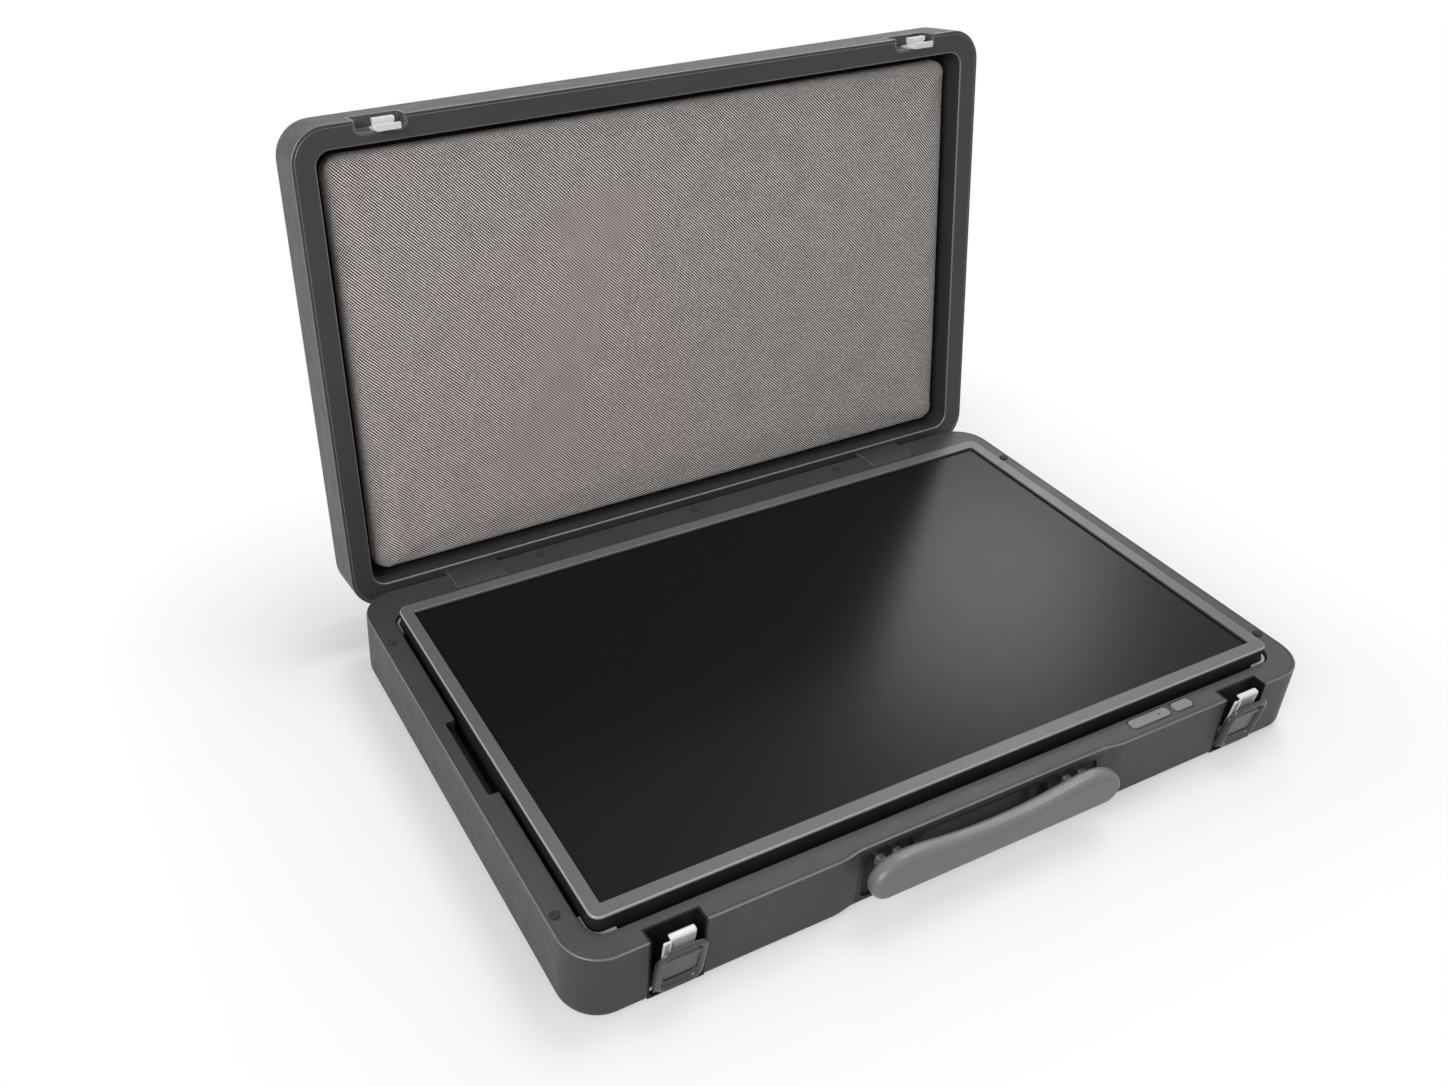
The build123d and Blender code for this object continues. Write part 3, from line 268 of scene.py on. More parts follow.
def matt_screen():
    """Anti-glare screen: near black, with a wide soft sheen."""
    material, tree, shader = new_material("Matt screen", (0.0065, 0.0065, 0.0067), 0.25)
    shader.inputs["Specular IOR Level"].default_value = 0.10
    sparkle = object_noise(tree, 2600, detail=1)
    raise_grain(tree, shader, sparkle, 0.12, 0.00002)
    return material


def woven_cover(look):
    """Plain weave of a light and a dark yarn, drawn on the pad's own UV map, which is in metres."""
    material, tree, shader = new_material("Woven cover", look.light_yarn, 0.92)
    shader.inputs["Sheen Weight"].default_value = 0.10
    shader.inputs["Sheen Roughness"].default_value = 0.5
    uv = tree.nodes.new("ShaderNodeUVMap")
    uv.uv_map = "cover"
    wander = tree.nodes.new("ShaderNodeTexNoise")
    wander.inputs["Scale"].default_value = 55
    wander.inputs["Detail"].default_value = 2
    tree.links.new(uv.outputs["UV"], wander.inputs["Vector"])
    shift = tree.nodes.new("ShaderNodeVectorMath")
    shift.operation = "MULTIPLY_ADD"
    shift.inputs[1].default_value = (look.yarn_pitch * 1.1,) * 3
    tree.links.new(wander.outputs["Color"], shift.inputs[0])
    tree.links.new(uv.outputs["UV"], shift.inputs[2])
    split = tree.nodes.new("ShaderNodeSeparateXYZ")
    tree.links.new(shift.outputs["Vector"], split.inputs["Vector"])

    def math_node(operation, first, second=0.0):
        node = tree.nodes.new("ShaderNodeMath")
        node.operation = operation
        for socket, value in zip(node.inputs, (first, second)):
            if isinstance(value, bpy.types.NodeSocket):
                tree.links.new(value, socket)
            else:
                socket.default_value = value
        return node.outputs[0]

    turn = math.pi / look.yarn_pitch
    across = math_node("MULTIPLY", split.outputs["X"], turn)
    upward = math_node("MULTIPLY", split.outputs["Y"], turn)
    falling = math_node("COSINE", math_node("SUBTRACT", across, upward))
    rising = math_node("COSINE", math_node("ADD", across, upward))
    lean = tree.nodes.new("ShaderNodeTexNoise")
    lean.inputs["Scale"].default_value = 34
    lean.inputs["Detail"].default_value = 1
    tree.links.new(uv.outputs["UV"], lean.inputs["Vector"])
    share = spread(tree, lean.outputs["Fac"], 0.60, 0.78, 0.35, 0.65)
    over = math_node("SUBTRACT", math_node("MULTIPLY", falling, share),
                     math_node("MULTIPLY", rising, math_node("SUBTRACT", 1.0, share)))
    light = spread(tree, over, 0, 1, 0.06, 0.26)
    slub = tree.nodes.new("ShaderNodeTexNoise")
    slub.inputs["Scale"].default_value = 260
    slub.inputs["Detail"].default_value = 3
    tree.links.new(uv.outputs["UV"], slub.inputs["Vector"])
    fade = spread(tree, slub.outputs["Fac"], 0.78, 1.12)
    yarn = mix_colours(tree, light, look.dark_yarn, look.light_yarn)
    worn = tree.nodes.new("ShaderNodeVectorMath")
    worn.operation = "SCALE"
    tree.links.new(yarn, worn.inputs[0])
    tree.links.new(fade, worn.inputs["Scale"])
    tree.links.new(worn.outputs["Vector"], shader.inputs["Base Color"])
    height = math_node("ADD", math_node("ABSOLUTE", over), math_node("MULTIPLY", slub.outputs["Fac"], 0.3))
    raise_grain(tree, shader, height, 0.5, 0.0003)
    return material


def circuit_green():
    """Solder mask with paler tracks under it."""
    material, tree, shader = new_material("Solder mask", (0.01, 0.09, 0.05), 0.35)
    tracks = object_noise(tree, 220, detail=0, stretch=(1, 3, 1))
    tint = mix_colours(tree, spread(tree, tracks, 0, 1, 0.48, 0.52), (0.008, 0.07, 0.04), (0.02, 0.14, 0.08))
    tree.links.new(tint, shader.inputs["Base Color"])
    return material


def pressed_board():
    """Dark pressed fibre board."""
    material, tree, shader = new_material("Fibre board", (0.012, 0.012, 0.012), 0.9)
    shader.inputs["Specular IOR Level"].default_value = 0.1
    fibre = object_noise(tree, 420, detail=5, stretch=(1, 4, 4))
    tint = mix_colours(tree, spread(tree, fibre, 0, 1), (0.008, 0.008, 0.008), (0.018, 0.017, 0.016))
    tree.links.new(tint, shader.inputs["Base Color"])
    raise_grain(tree, shader, fibre, 0.4, 0.0001)
    return material


def make_materials():
    """Every finish of the case, by the record's slot name."""
    look = bpy.context.scene.case_look
    cover = bpy.context.scene.cover_look
    return {
        "shell_plastic": moulded("Outer plastic", look.shell_colour, 0.46),
        "deck_plastic": moulded("Deck plastic", look.deck_colour, 0.44),
        "black_plastic": moulded("Black plastic", (0.012, 0.012, 0.013), 0.5),
        "grip_plastic": moulded("Grip plastic", look.grip_colour, 0.38, grain=700, gloss=0.5),
        "latch_plastic": moulded("Latch plastic", look.latch_colour, 0.30, depth=0.00002, gloss=0.6),
        "bay_plastic": moulded("Bay plastic", (0.010, 0.010, 0.011), 0.5, gloss=0.12),
        # Lighter than the deck plastic: painted light on the pockets' walls.
        "pocket_plastic": moulded("Pocket plastic", look.pocket_painted_light, 0.36, gloss=0.5),
        "white_plastic": moulded("White plastic", look.hook_colour, 0.28, depth=0.00001, vary=0.03),
        "light_plastic": moulded("Light plastic", (0.38, 0.38, 0.38), 0.4),
        "button_plastic": moulded("Button plastic", look.button_colour, 0.4, depth=0.00003),
        "rubber": moulded("Rubber", (0.022, 0.022, 0.023), 0.75, grain=1500),
        "steel": brushed("Bright steel", (0.72, 0.73, 0.74), 0.26, metal=0.85),
        "post_steel": brushed("Drawn steel", (0.80, 0.81, 0.82), 0.22, along=(1, 0.04, 1), metal=0.85),
        "aluminium": brushed("Cast aluminium", (0.6, 0.61, 0.62), 0.45),
        "bezel_paint": moulded("Bezel paint", look.bezel_colour, 0.36, grain=2200, depth=0.00002, vary=0.04),
        "screen_glass": matt_screen(),
        "lcd": moulded("Panel black", (0.006, 0.006, 0.007), 0.3),
        "pad_fabric": woven_cover(cover),
        "board_fibre": pressed_board(),
        "circuit": circuit_green(),
        "battery_wrap": moulded("Battery wrap", (0.02, 0.05, 0.13), 0.4),
    }


MATERIALS = {}

# Shells whose flat side has a rounded lip that gets a painted highlight, how deep the lip goes, and between which
# leans its faces lie (1 is flat).
LIPS = ("base_tray", "deck_panel", "lid_shell", "lid_frame", "screen_bezel")
LIP = 1.3 * MM
LIP_LEAN = (0.12, 0.985)

# How much lighter than itself each finish is painted on its eased edges and lips: a painted highlight.
EDGE_HIGHLIGHT_LIGHTEN = {"latch_plastic": 2.5, "pocket_plastic": 2.0, "bay_plastic": 14, "shell_plastic": 3.4,
             "deck_plastic": 4.0, "black_plastic": 2.5, "bezel_paint": 2.6, "button_plastic": 1.8}


def finish_of(slot):
    if not MATERIALS:
        MATERIALS.update(make_materials())
    return MATERIALS[slot]


def painted_highlight_finish(slot):
    """The same plastic on eased edges: smoother and glossier, and lighter in colour as a painted highlight."""
    name = f"{slot}_rubbed"
    if name not in MATERIALS:
        base = finish_of(slot).diffuse_color
        MATERIALS[name] = moulded(f"{finish_of(slot).name}, rubbed", shade(base[:3], EDGE_HIGHLIGHT_LIGHTEN[slot]), 0.28,
                                  depth=0.00001, gloss=0.7)
    return MATERIALS[name]


# ---------------------------------------------------------------- pieces
def whole(bm):
    return bm.verts[:] + bm.edges[:] + bm.faces[:]


def extent(points):
    """The lowest and the highest corner of the box round some points."""
    return (Vector([min(p[i] for p in points) for i in range(3)]),
            Vector([max(p[i] for p in points) for i in range(3)]))


def thicken(bm, height):
    """Raises a flat sheet into a thin closed plate."""
    made = bmesh.ops.extrude_face_region(bm, geom=bm.faces[:], use_keep_orig=True)
    bmesh.ops.translate(bm, verts=[v for v in made["geom"] if isinstance(v, bmesh.types.BMVert)],
                        vec=(0, 0, height))
    # Extruding leaves the faces in an order that changes from run to run.
    bm.verts.index_update()
    ordered = sorted(bm.faces, key=lambda face: sorted(vert.index for vert in face.verts))
    rank = {face: i for i, face in enumerate(ordered)}
    bm.faces.sort(key=rank.get)


def stand_up(bm, middle):
    """Turns a flat piece at the origin to face the front, and moves it to its place."""
    bmesh.ops.rotate(bm, verts=bm.verts, cent=(0, 0, 0), matrix=Matrix.Rotation(math.radians(90), 3, "X"))
    bmesh.ops.translate(bm, verts=bm.verts, vec=middle)


def place(name, bm, slot, body, replaces=(), sharp=35, finish=None):
    """Makes a finished mesh into an object that rides on its body."""
    bmesh.ops.recalc_face_normals(bm, faces=bm.faces)
    mark_sharp(bm, sharp)
    mesh = bpy.data.meshes.new(name)
    bm.to_mesh(mesh)
    bm.free()
    piece = bpy.data.objects.new(name, mesh)
    bpy.context.scene.collection.objects.link(piece)
    mesh.materials.append(finish_of(finish or slot))
    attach(piece, body)
    if replaces:
        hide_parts(*replaces)
    return piece


def mark_sharp(bm, degrees):
    limit = math.radians(degrees)
    for face in bm.faces:
        face.smooth = True
    for edge in bm.edges:
        edge.smooth = len(edge.link_faces) == 2 and edge.calc_face_angle(math.pi) < limit


def paint_lip_highlight(bm, node):
    """Gives the rounded lip round the flat side of a shell the lighter finish: a painted highlight."""
    shut = SWING.inverted() if BODY_OF[node] == "lid" else Matrix()
    up = -1 if BODY_OF[node] == "lid" else 1
    level = max((shut @ v.co).z * up for v in bm.verts)
    bm.normal_update()
    for face in bm.faces:
        lean = (shut.to_3x3() @ face.normal).z * up
        if LIP_LEAN[0] < lean < LIP_LEAN[1] and all(level - (shut @ v.co).z * up < LIP for v in face.verts):
            face.material_index = 1


def level_normals(piece):
    """Keeps flats flat beside their rounded edges."""
    weighted = piece.modifiers.new("Level flats", "WEIGHTED_NORMAL")
    weighted.keep_sharp = True
    weighted.weight = 80
    return piece


def dress(node, ease=None, angle=30, finish=None, sharp=35):
    """A CAD node with its triangles joined, its flats made whole and its edges eased."""
    bm = bmesh.new()
    bm.from_mesh(NODES[node].data)
    bmesh.ops.remove_doubles(bm, verts=bm.verts, dist=WELD)
    bmesh.ops.dissolve_degenerate(bm, edges=bm.edges, dist=WELD)
    bmesh.ops.dissolve_limit(bm, angle_limit=FLAT, verts=bm.verts, edges=bm.edges)
    finish = finish or SLOT_OF[node]
    painted_highlight = finish in EDGE_HIGHLIGHT_LIGHTEN
    if node in LIPS:
        # The lip's faces get the lighter material: a painted highlight.
        paint_lip_highlight(bm, node)
    piece = place(f"{node}_finished", bm, SLOT_OF[node], BODY_OF[node], (node,), sharp, finish)
    # Finishes with edge highlights get a second, lighter material: a painted highlight.
    if painted_highlight:
        piece.data.materials.append(painted_highlight_finish(finish))
    width = bpy.context.scene.case_look.edge_ease if ease is None else ease
    if width > 0:
        bevel = piece.modifiers.new("Eased edges", "BEVEL")
        bevel.width = width
        bevel.segments = 2
        bevel.limit_method = "ANGLE"
        bevel.angle_limit = math.radians(angle)
        bevel.use_clamp_overlap = True
        bevel.miter_outer = "MITER_ARC"
        bevel.harden_normals = False
        # The eased edges take the second material, whose lighter colour is a painted highlight.
        if painted_highlight:
            bevel.material = 1
    return level_normals(piece)


# ---------------------------------------------------------------- operators
class CASE_OT_base(bpy.types.Operator):
    """Finish the base tray, the deck and everything moulded into them"""
    bl_idname = "case.base"
    bl_label = "Base and deck"

    def execute(self, context):
        for node in ("base_tray", "deck_panel", "handle_bay", "corner_cradles", "well_floor"):
            dress(node)
        for side in ("left", "right"):
            dress(f"handle_guide_{side}", finish="bay_plastic")
            dress(f"latch_bay_{side}", finish="bay_plastic")
        return {"FINISHED"}


class CASE_OT_fixings(bpy.types.Operator):
    """Finish the rubber parts, screws, pins and brackets"""
    bl_idname = "case.fixings"
    bl_label = "Rubber and metal fixings"

    def execute(self, context):
        for node in ("feet", "deck_bumpers", "base_screws", "latch_pins", "hinge_pins", "hinge_bracket_left",
                     "hinge_bracket_right", "arm_bracket", "arm_pin", "tilt_pin", "tilt_bracket", "lift_arm",
                     "hinge_plate_left", "hinge_plate_right"):
            dress(node, ease=0.0002)
        return {"FINISHED"}


class CASE_OT_handle(bpy.types.Operator):
    """Finish the pull-out handle and its posts"""
    bl_idname = "case.handle"
    bl_label = "Handle"

    def execute(self, context):
        for node in ("handle_grip", "handle_stops"):
            dress(node, ease=0.0003)
        dress("handle_posts", ease=0, finish="post_steel")
        return {"FINISHED"}


def rounded_plate(bm, width, height, radius, foot_radius=None):
    """A flat face round the origin with rounded corners; it faces up, and its foot is on the -Y side."""
    bmesh.ops.create_grid(bm, x_segments=1, y_segments=1, size=0.5)
    bmesh.ops.scale(bm, vec=(width, height, 1), verts=bm.verts)
    for corners, size in (([v for v in bm.verts if v.co.y > 0], radius),
                          ([v for v in bm.verts if v.co.y < 0], foot_radius or radius)):
        bmesh.ops.bevel(bm, geom=corners, offset=size, affect="VERTICES", segments=9, profile=0.5, material=-1)
    return bm.faces[:][0]


def rolled_ring(bm, face, width, crest, sink, steps=14):
    """Turns the face's border into a rolled rim that rises to a crest and sinks past the face; the middle is open."""
    across, height = 0.0, 0.0
    for step in range(1, steps + 1):
        turn = math.pi * step / steps
        new_across = width * (1 - math.cos(turn)) / 2
        new_height = crest * math.sin(turn) if step <= steps / 2 else (crest + sink) * math.sin(turn) - sink
        bmesh.ops.inset_region(bm, faces=[face], thickness=new_across - across, depth=new_height - height,
                               use_even_offset=True, use_boundary=True)
        across, height = new_across, new_height
    bmesh.ops.delete(bm, geom=[face], context="FACES_ONLY")
    bmesh.ops.bridge_loops(bm, edges=[e for e in bm.edges if len(e.link_faces) == 1])


class CASE_OT_latches(bpy.types.Operator):
    """Finish the latch levers, hooks and catches"""
    bl_idname = "case.latches"
    bl_label = "Latches"

    def execute(self, context):
        look = context.scene.latch_look
        for side in ("left", "right"):
            dress(f"latch_lever_{side}", ease=0.0003, finish="latch_plastic")
            dress(f"catch_bay_{side}", ease=0.0003, finish="pocket_plastic")
            dress(f"hook_pin_{side}", ease=0.0003)
            dress(f"latch_catch_{side}", ease=0.0006)
            lean = turned(Vector(joint(f"lever_{side}_hinge")["pos_m"]), look.lean)
            self.rim(side, lean, look)
            self.hook(side, look)
        return {"FINISHED"}

    def hook(self, side, look):
        """A hook with well rounded edges above its foot, which the lever hides."""
        node = f"latch_hook_{side}"
        bm = bmesh.new()
        bm.from_mesh(NODES[node].data)
        bmesh.ops.remove_doubles(bm, verts=bm.verts, dist=WELD)
        bmesh.ops.dissolve_limit(bm, angle_limit=FLAT, verts=bm.verts, edges=bm.edges)
        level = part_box(node)[0].z + look.hook_plain
        bmesh.ops.bisect_plane(bm, geom=whole(bm), dist=CUT_SLIP, plane_co=(0, 0, level), plane_no=(0, 0, 1))
        edges = [e for e in bm.edges if len(e.link_faces) == 2 and e.calc_face_angle() > math.radians(30)
                 and min(v.co.z for v in e.verts) > level - 0.00001]
        bmesh.ops.bevel(bm, geom=edges, offset=look.hook_round, segments=4, profile=0.5, affect="EDGES",
                        clamp_overlap=False, material=-1)
        level_normals(place(f"{node}_finished", bm, SLOT_OF[node], BODY_OF[node], (node,)))

    def rim(self, side, lean, look):
        """The rolled rim and the face of a lever, made upright and then leant out with the lever."""
        node = f"latch_lever_{side}"
        upright = lean.inverted()
        low, high = extent([upright @ v.co for v in NODES[node].data.vertices])
        low.z += look.rim_lift
        centre = (low.x + high.x) / 2
        bm = bmesh.new()
        face = rounded_plate(bm, high.x - low.x, high.z - low.z + look.rim_over,
                             look.top_round, look.foot_round)
        rolled_ring(bm, face, look.rim_width, look.rim_crest, look.rim_sink)
        stand_up(bm, (centre, low.y + look.rim_seat, (low.z + high.z + look.rim_over) / 2))
        bm.transform(lean)
        place(f"lever_rim_{side}", bm, SLOT_OF[node], BODY_OF[node], sharp=80, finish="latch_plastic")

        # The face runs a fifth of the rim's width under the rim, so that no gap shows.
        edge = look.rim_width * 0.8
        foot, head = look.face_foot, high.z + look.rim_over - edge
        bm = bmesh.new()
        rounded_plate(bm, high.x - low.x - 2 * edge, head - foot, look.top_round * 0.5, 0.001)
        thicken(bm, -look.face_thick)
        stand_up(bm, (centre, low.y + look.face_sink, (foot + head) / 2))
        bm.transform(lean)
        place(f"lever_face_{side}", bm, SLOT_OF[node], BODY_OF[node], sharp=30, finish="latch_plastic")


class CASE_OT_lid(bpy.types.Operator):
    """Finish the lid's shell, rim and hinge arms"""
    bl_idname = "case.lid"
    bl_label = "Lid"

    def execute(self, context):
        for node in ("lid_shell", "lid_frame", "pad_board", "board_posts", "hinge_arm_left", "hinge_arm_right"):
            dress(node)
        return {"FINISHED"}


class CASE_OT_pad(bpy.types.Operator):
    """Make the fabric-covered pad that fills the lid"""
    bl_idname = "case.pad"
    bl_label = "Lid pad"

    def execute(self, context):
        look = context.scene.cover_look
        shut = SWING.inverted()
        low, high = extent([shut @ v.co for v in NODES["lid_pad"].data.vertices])
        bm = self.board(low, high, look)
        bm = self.stuff(bm, high, look)
        self.lay_cover(bm, low, high)
        bm.transform(SWING)
        piece = place("lid_pad_cover", bm, "pad_fabric", "lid", ("lid_pad",), sharp=180)
        smooth = piece.modifiers.new("Smooth cover", "SUBSURF")
        smooth.levels = smooth.render_levels = 1
        return {"FINISHED"}

    def board(self, low, high, look):
        """The pad before it is stuffed: a little under size, with rounded corners and a rolled edge."""
        wider = 2 * (look.reach - look.slack)
        size = high - low + Vector((wider, wider, -look.slack))
        middle = (low + high) / 2 + Vector((0, 0, look.slack / 2))
        bm = bmesh.new()
        bmesh.ops.create_cube(bm, size=1)
        bmesh.ops.scale(bm, vec=size, verts=bm.verts)
        bmesh.ops.translate(bm, vec=middle, verts=bm.verts)
        uprights = [e for e in bm.edges if abs(e.verts[0].co.z - e.verts[1].co.z) > size.z / 2]
        bmesh.ops.bevel(bm, geom=uprights, offset=look.corner_round, affect="EDGES", segments=8, profile=0.5,
                        material=-1)
        rim = [e for e in bm.edges if max(v.co.z for v in e.verts) < middle.z]
        bmesh.ops.bevel(bm, geom=rim, offset=look.edge_round, affect="EDGES", segments=6, profile=0.5, material=-1)
        return bm

    def crown(self, bm, low, high, look):
        middle, size = (low + high) / 2, high - low
        columns = round(look.rows * size.x / size.y)
        for axis, count in ((0, columns), (1, look.rows)):
            for i in range(1, count):
                at = middle.copy()
                at[axis] = low[axis] + size[axis] * i / count
                normal = Vector((0, 0, 0))
                normal[axis] = 1
                bmesh.ops.bisect_plane(bm, geom=whole(bm), dist=CUT_SLIP / 2, plane_co=at, plane_no=normal)
        for vert in bm.verts:
            u = (vert.co.x - middle.x) / (size.x / 2)
            v = (vert.co.y - middle.y) / (size.y / 2)
            rise = max(0.0, 1 - u ** 6) * max(0.0, 1 - v ** 6)
            vert.co.z -= look.swell * rise * (high.z - vert.co.z) / size.z

    def stuff(self, bm, high, look):
        """The pad swollen by its stuffing, while its back stays glued to the board."""
        mesh = bpy.data.meshes.new("pad_blank")
        bm.to_mesh(mesh)
        bm.free()
        blank = bpy.data.objects.new("pad_blank", mesh)
        scene = bpy.context.scene
        scene.collection.objects.link(blank)
        grid = blank.modifiers.new("Grid", "REMESH")
        grid.mode = "VOXEL"
        grid.voxel_size = look.voxel
        self.settle(blank)
        before = [v.co.copy() for v in blank.data.vertices]
        glued = blank.vertex_groups.new(name="glued")
        glued.add([i for i, at in enumerate(before) if at.z > high.z - look.voxel * 0.6], 1.0, "REPLACE")
        cloth = blank.modifiers.new("Stuffing", "CLOTH")
        cloth.settings.vertex_group_mass = glued.name
        cloth.settings.use_pressure = True
        cloth.settings.uniform_pressure_force = look.pressure
        cloth.settings.effector_weights.gravity = 0
        for frame_number in range(1, 21):
            scene.frame_set(frame_number)
        self.settle(blank)
        scene.frame_set(1)
        bm = bmesh.new()
        bm.from_mesh(blank.data)
        for vert, start in zip(bm.verts, before):
            move = vert.co - start
            if move.length > 0:
                vert.co = start + move * (look.swell * math.tanh(move.length / look.swell) / move.length)
        bpy.data.objects.remove(blank)
        return bm

    def settle(self, piece):
        """Applies the piece's modifiers to its mesh."""
        finished = bpy.data.meshes.new_from_object(piece.evaluated_get(bpy.context.evaluated_depsgraph_get()))
        piece.modifiers.clear()
        piece.data = finished

    def lay_cover(self, bm, low, high):
        """The cover's UV map, in metres: flat across the face, and folded down the sides."""
        middle = (low + high) / 2
        bm.normal_update()
        layer = bm.loops.layers.uv.new("cover")
        for face in bm.faces:
            for loop in face.loops:
                at, out = loop.vert.co, loop.vert.normal
                down = max(0.0, at.z - low.z)
                lean = abs(out.x) + abs(out.y) + 0.2 * abs(out.z)
                loop[layer].uv = (at.x - middle.x + down * out.x / lean, at.y - middle.y + down * out.y / lean)


class CASE_OT_display(bpy.types.Operator):
    """Finish the display that lies in the base"""
    bl_idname = "case.display"
    bl_label = "Display"

    def execute(self, context):
        dress("screen_bezel", ease=0.00025, angle=25, sharp=25)
        dress("display_cover", ease=0.0003)
        for node in ("screen_glass", "lcd_panel", "panel_frame", "display_board"):
            dress(node, ease=0)
        return {"FINISHED"}


class CASE_OT_controls(bpy.types.Operator):
    """Finish the rocker and the button on the front deck"""
    bl_idname = "case.controls"
    bl_label = "Controls"

    def execute(self, context):
        look = context.scene.latch_look
        for node in ("volume_rocker", "power_button", "button_board"):
            dress(node, ease=0.0002)
        for node in ("volume_rocker", "power_button"):
            self.groove(node, look)
        low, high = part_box("volume_rocker")
        right_end = Vector((high.x - 0.27 * (high.x - low.x), (low.y + high.y) / 2, high.z))
        bm = bmesh.new()
        bmesh.ops.create_circle(bm, cap_ends=True, segments=20, radius=look.dot)
        bmesh.ops.translate(bm, verts=bm.verts, vec=right_end - Vector((0, 0, 0.1 * MM)))
        thicken(bm, 0.15 * MM)
        place("rocker_dot", bm, "black_plastic", BODY_OF["volume_rocker"])
        return {"FINISHED"}

    def groove(self, node, look):
        """A thin black ring on the deck round a button: painted shade where its groove is."""
        low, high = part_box(node)
        size = high - low
        bm = bmesh.new()
        face = rounded_plate(bm, size.x + 2 * look.groove, size.y + 2 * look.groove, size.y * 0.48 + look.groove)
        bmesh.ops.inset_region(bm, faces=[face], thickness=look.groove, use_even_offset=True, use_boundary=True)
        bmesh.ops.delete(bm, geom=[face], context="FACES_ONLY")
        middle = (low + high) / 2
        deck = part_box("deck_panel")[1].z
        bmesh.ops.translate(bm, verts=bm.verts, vec=(middle.x, middle.y, deck - 0.1 * MM))
        thicken(bm, 0.14 * MM)
        # Black plastic laid flat on the deck: painted shade.
        place(f"{node}_groove", bm, "black_plastic", BODY_OF["deck_panel"])


class CASE_OT_inside(bpy.types.Operator):
    """Finish the battery, boards and speakers under the display"""
    bl_idname = "case.inside"
    bl_label = "Inside"

    def execute(self, context):
        for node in ("battery_pack", "main_board", "power_board", "speaker_box_left", "speaker_box_right",
                     "speaker_drivers"):
            dress(node, ease=0)
        return {"FINISHED"}


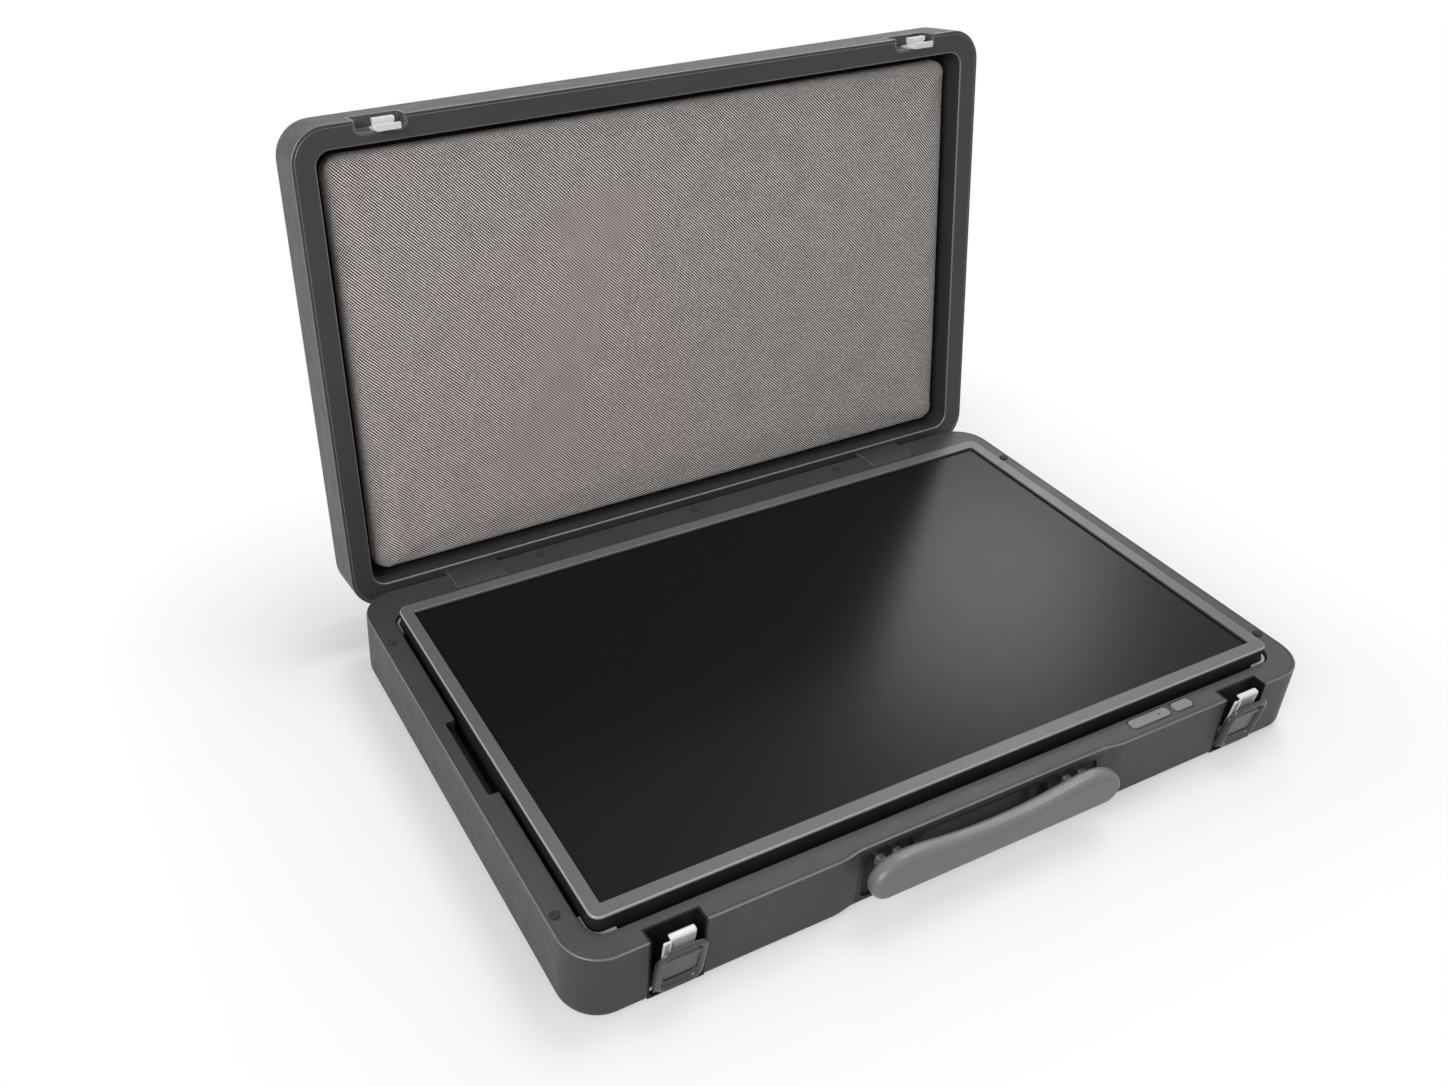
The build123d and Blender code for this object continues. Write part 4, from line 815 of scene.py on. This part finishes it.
class CASE_OT_stage(bpy.types.Operator):
    """Set the pale floor, the soft lamps and the camera"""
    bl_idname = "case.stage"
    bl_label = "Stage"

    def execute(self, context):
        scene = context.scene
        scene.view_settings.view_transform = "Standard"
        self.floor()
        self.world(scene)
        self.lamps()
        self.camera(scene)
        return {"FINISHED"}

    def floor(self):
        """The pale floor: it holds the case's shadow, and fades to plain white away from the case."""
        near_share, fade_width = 0.28, 0.22
        bm = bmesh.new()
        bmesh.ops.create_grid(bm, x_segments=1, y_segments=1, size=12)
        mesh = bpy.data.meshes.new("floor")
        bm.to_mesh(mesh)
        bm.free()
        piece = bpy.data.objects.new("floor", mesh)
        bpy.context.scene.collection.objects.link(piece)
        material, tree, shader = new_material("Pale floor", (0.9, 0.9, 0.9), 0.8)
        shader.inputs["Specular IOR Level"].default_value = 0.1
        seen = seen_directly(tree)
        tint = mix_colours(tree, seen, (0.5, 0.5, 0.5), (0.9, 0.9, 0.9))
        tree.links.new(tint, shader.inputs["Base Color"])
        place = tree.nodes.new("ShaderNodeTexCoord")
        low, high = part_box("base_tray")
        apart = place.outputs["Object"]
        for operation, value in (("ABSOLUTE", None), ("SUBTRACT", (high - low) / 2), ("MAXIMUM", (0, 0, 0)),
                                 ("LENGTH", None)):
            step = tree.nodes.new("ShaderNodeVectorMath")
            step.operation = operation
            tree.links.new(apart, step.inputs[0])
            if value is not None:
                step.inputs[1].default_value = value
            apart = step.outputs["Value" if operation == "LENGTH" else "Vector"]
        share = spread(tree, apart, near_share, 1.0, 0, fade_width)
        glow = tree.nodes.new("ShaderNodeEmission")
        glow.inputs["Color"].default_value = (1, 1, 1, 1)
        blend = tree.nodes.new("ShaderNodeMixShader")
        amount = tree.nodes.new("ShaderNodeMath")
        amount.operation = "MULTIPLY"
        tree.links.new(seen, amount.inputs[0])
        tree.links.new(share, amount.inputs[1])
        output = tree.nodes["Material Output"]
        tree.links.new(amount.outputs[0], blend.inputs["Fac"])
        tree.links.new(shader.outputs["BSDF"], blend.inputs[1])
        tree.links.new(glow.outputs["Emission"], blend.inputs[2])
        tree.links.new(blend.outputs["Shader"], output.inputs["Surface"])
        mesh.materials.append(material)

    def world(self, scene):
        """A dim even light on the case, and plain white where the backdrop is seen."""
        world = bpy.data.worlds.new("Studio")
        scene.world = world
        world.use_nodes = True
        tree = world.node_tree
        back = tree.nodes["Background"]
        back.inputs["Color"].default_value = (1, 1, 1, 1)
        level = spread(tree, seen_directly(tree), 0.30, 1.0, 0, 1)
        tree.links.new(level, back.inputs["Strength"])

    def lamps(self):
        """Each lamp's name, place, aim, size in metres and power in watts."""
        for name, spot, aim, size, power in (
                ("Key softbox", (-2.1, -1.2, 1.5), (-0.1, 0.1, 0.15), (1.6, 1.3), 46),
                ("Overhead softbox", (0.9, 0.35, 2.5), (0.1, 0.0, 0.0), (1.2, 1.2), 28),
                ("Back softbox", (1.90, 1.50, 1.80), (0.18, -0.1, 0.07), (0.6, 0.6), 10.5)):
            data = bpy.data.lights.new(name, "AREA")
            data.shape = "RECTANGLE"
            data.size, data.size_y = size
            data.energy = power
            lamp = bpy.data.objects.new(name, data)
            bpy.context.scene.collection.objects.link(lamp)
            lamp.location = spot
            lamp.rotation_euler = (Vector(aim) - Vector(spot)).to_track_quat("-Z", "Y").to_euler()

    def camera(self, scene):
        """The camera, solved from the straight edges of the case."""
        look_down, turn_right = 31.347, 26.052
        data = bpy.data.cameras.new("Camera")
        data.sensor_width = 36
        data.lens = 34.106
        data.shift_x = 0.1187
        data.shift_y = -0.0738
        data.clip_start = 0.02
        camera = bpy.data.objects.new("Camera", data)
        scene.collection.objects.link(camera)
        camera.location = (-0.5953, FRONT - 0.4971, 0.7993)
        camera.rotation_euler = (math.radians(90 - look_down), 0, math.radians(-turn_right))
        scene.camera = camera


class CASE_PT_panel(bpy.types.Panel):
    """Lists the steps that dress the case"""
    bl_idname = "CASE_PT_panel"
    bl_label = "Display carrying case"
    bl_space_type = "VIEW_3D"
    bl_region_type = "UI"
    bl_category = "Case"

    def draw(self, context):
        for settings in (context.scene.case_look, context.scene.cover_look, context.scene.latch_look):
            for name in settings.bl_rna.properties.keys():
                if name not in ("rna_type", "name"):
                    self.layout.prop(settings, name)
        for step in STEPS:
            self.layout.operator(step.bl_idname)


STEPS = (CASE_OT_stage, CASE_OT_base, CASE_OT_fixings, CASE_OT_handle, CASE_OT_latches, CASE_OT_lid,
         CASE_OT_pad, CASE_OT_display, CASE_OT_controls, CASE_OT_inside)
CLASSES = (CaseLook, CoverLook, LatchLook, *STEPS, CASE_PT_panel)


def register():
    for cls in CLASSES:
        bpy.utils.register_class(cls)
    bpy.types.Scene.case_look = PointerProperty(type=CaseLook)
    bpy.types.Scene.cover_look = PointerProperty(type=CoverLook)
    bpy.types.Scene.latch_look = PointerProperty(type=LatchLook)


def unregister():
    del bpy.types.Scene.case_look
    del bpy.types.Scene.cover_look
    del bpy.types.Scene.latch_look
    for cls in reversed(CLASSES):
        bpy.utils.unregister_class(cls)


def main():
    register()
    bpy.ops.case.stage()
    bpy.ops.case.base()
    bpy.ops.case.fixings()
    bpy.ops.case.handle()
    bpy.ops.case.latches()
    bpy.ops.case.lid()
    bpy.ops.case.pad()
    bpy.ops.case.display()
    bpy.ops.case.controls()
    bpy.ops.case.inside()


if __name__ == "__main__":
    main()
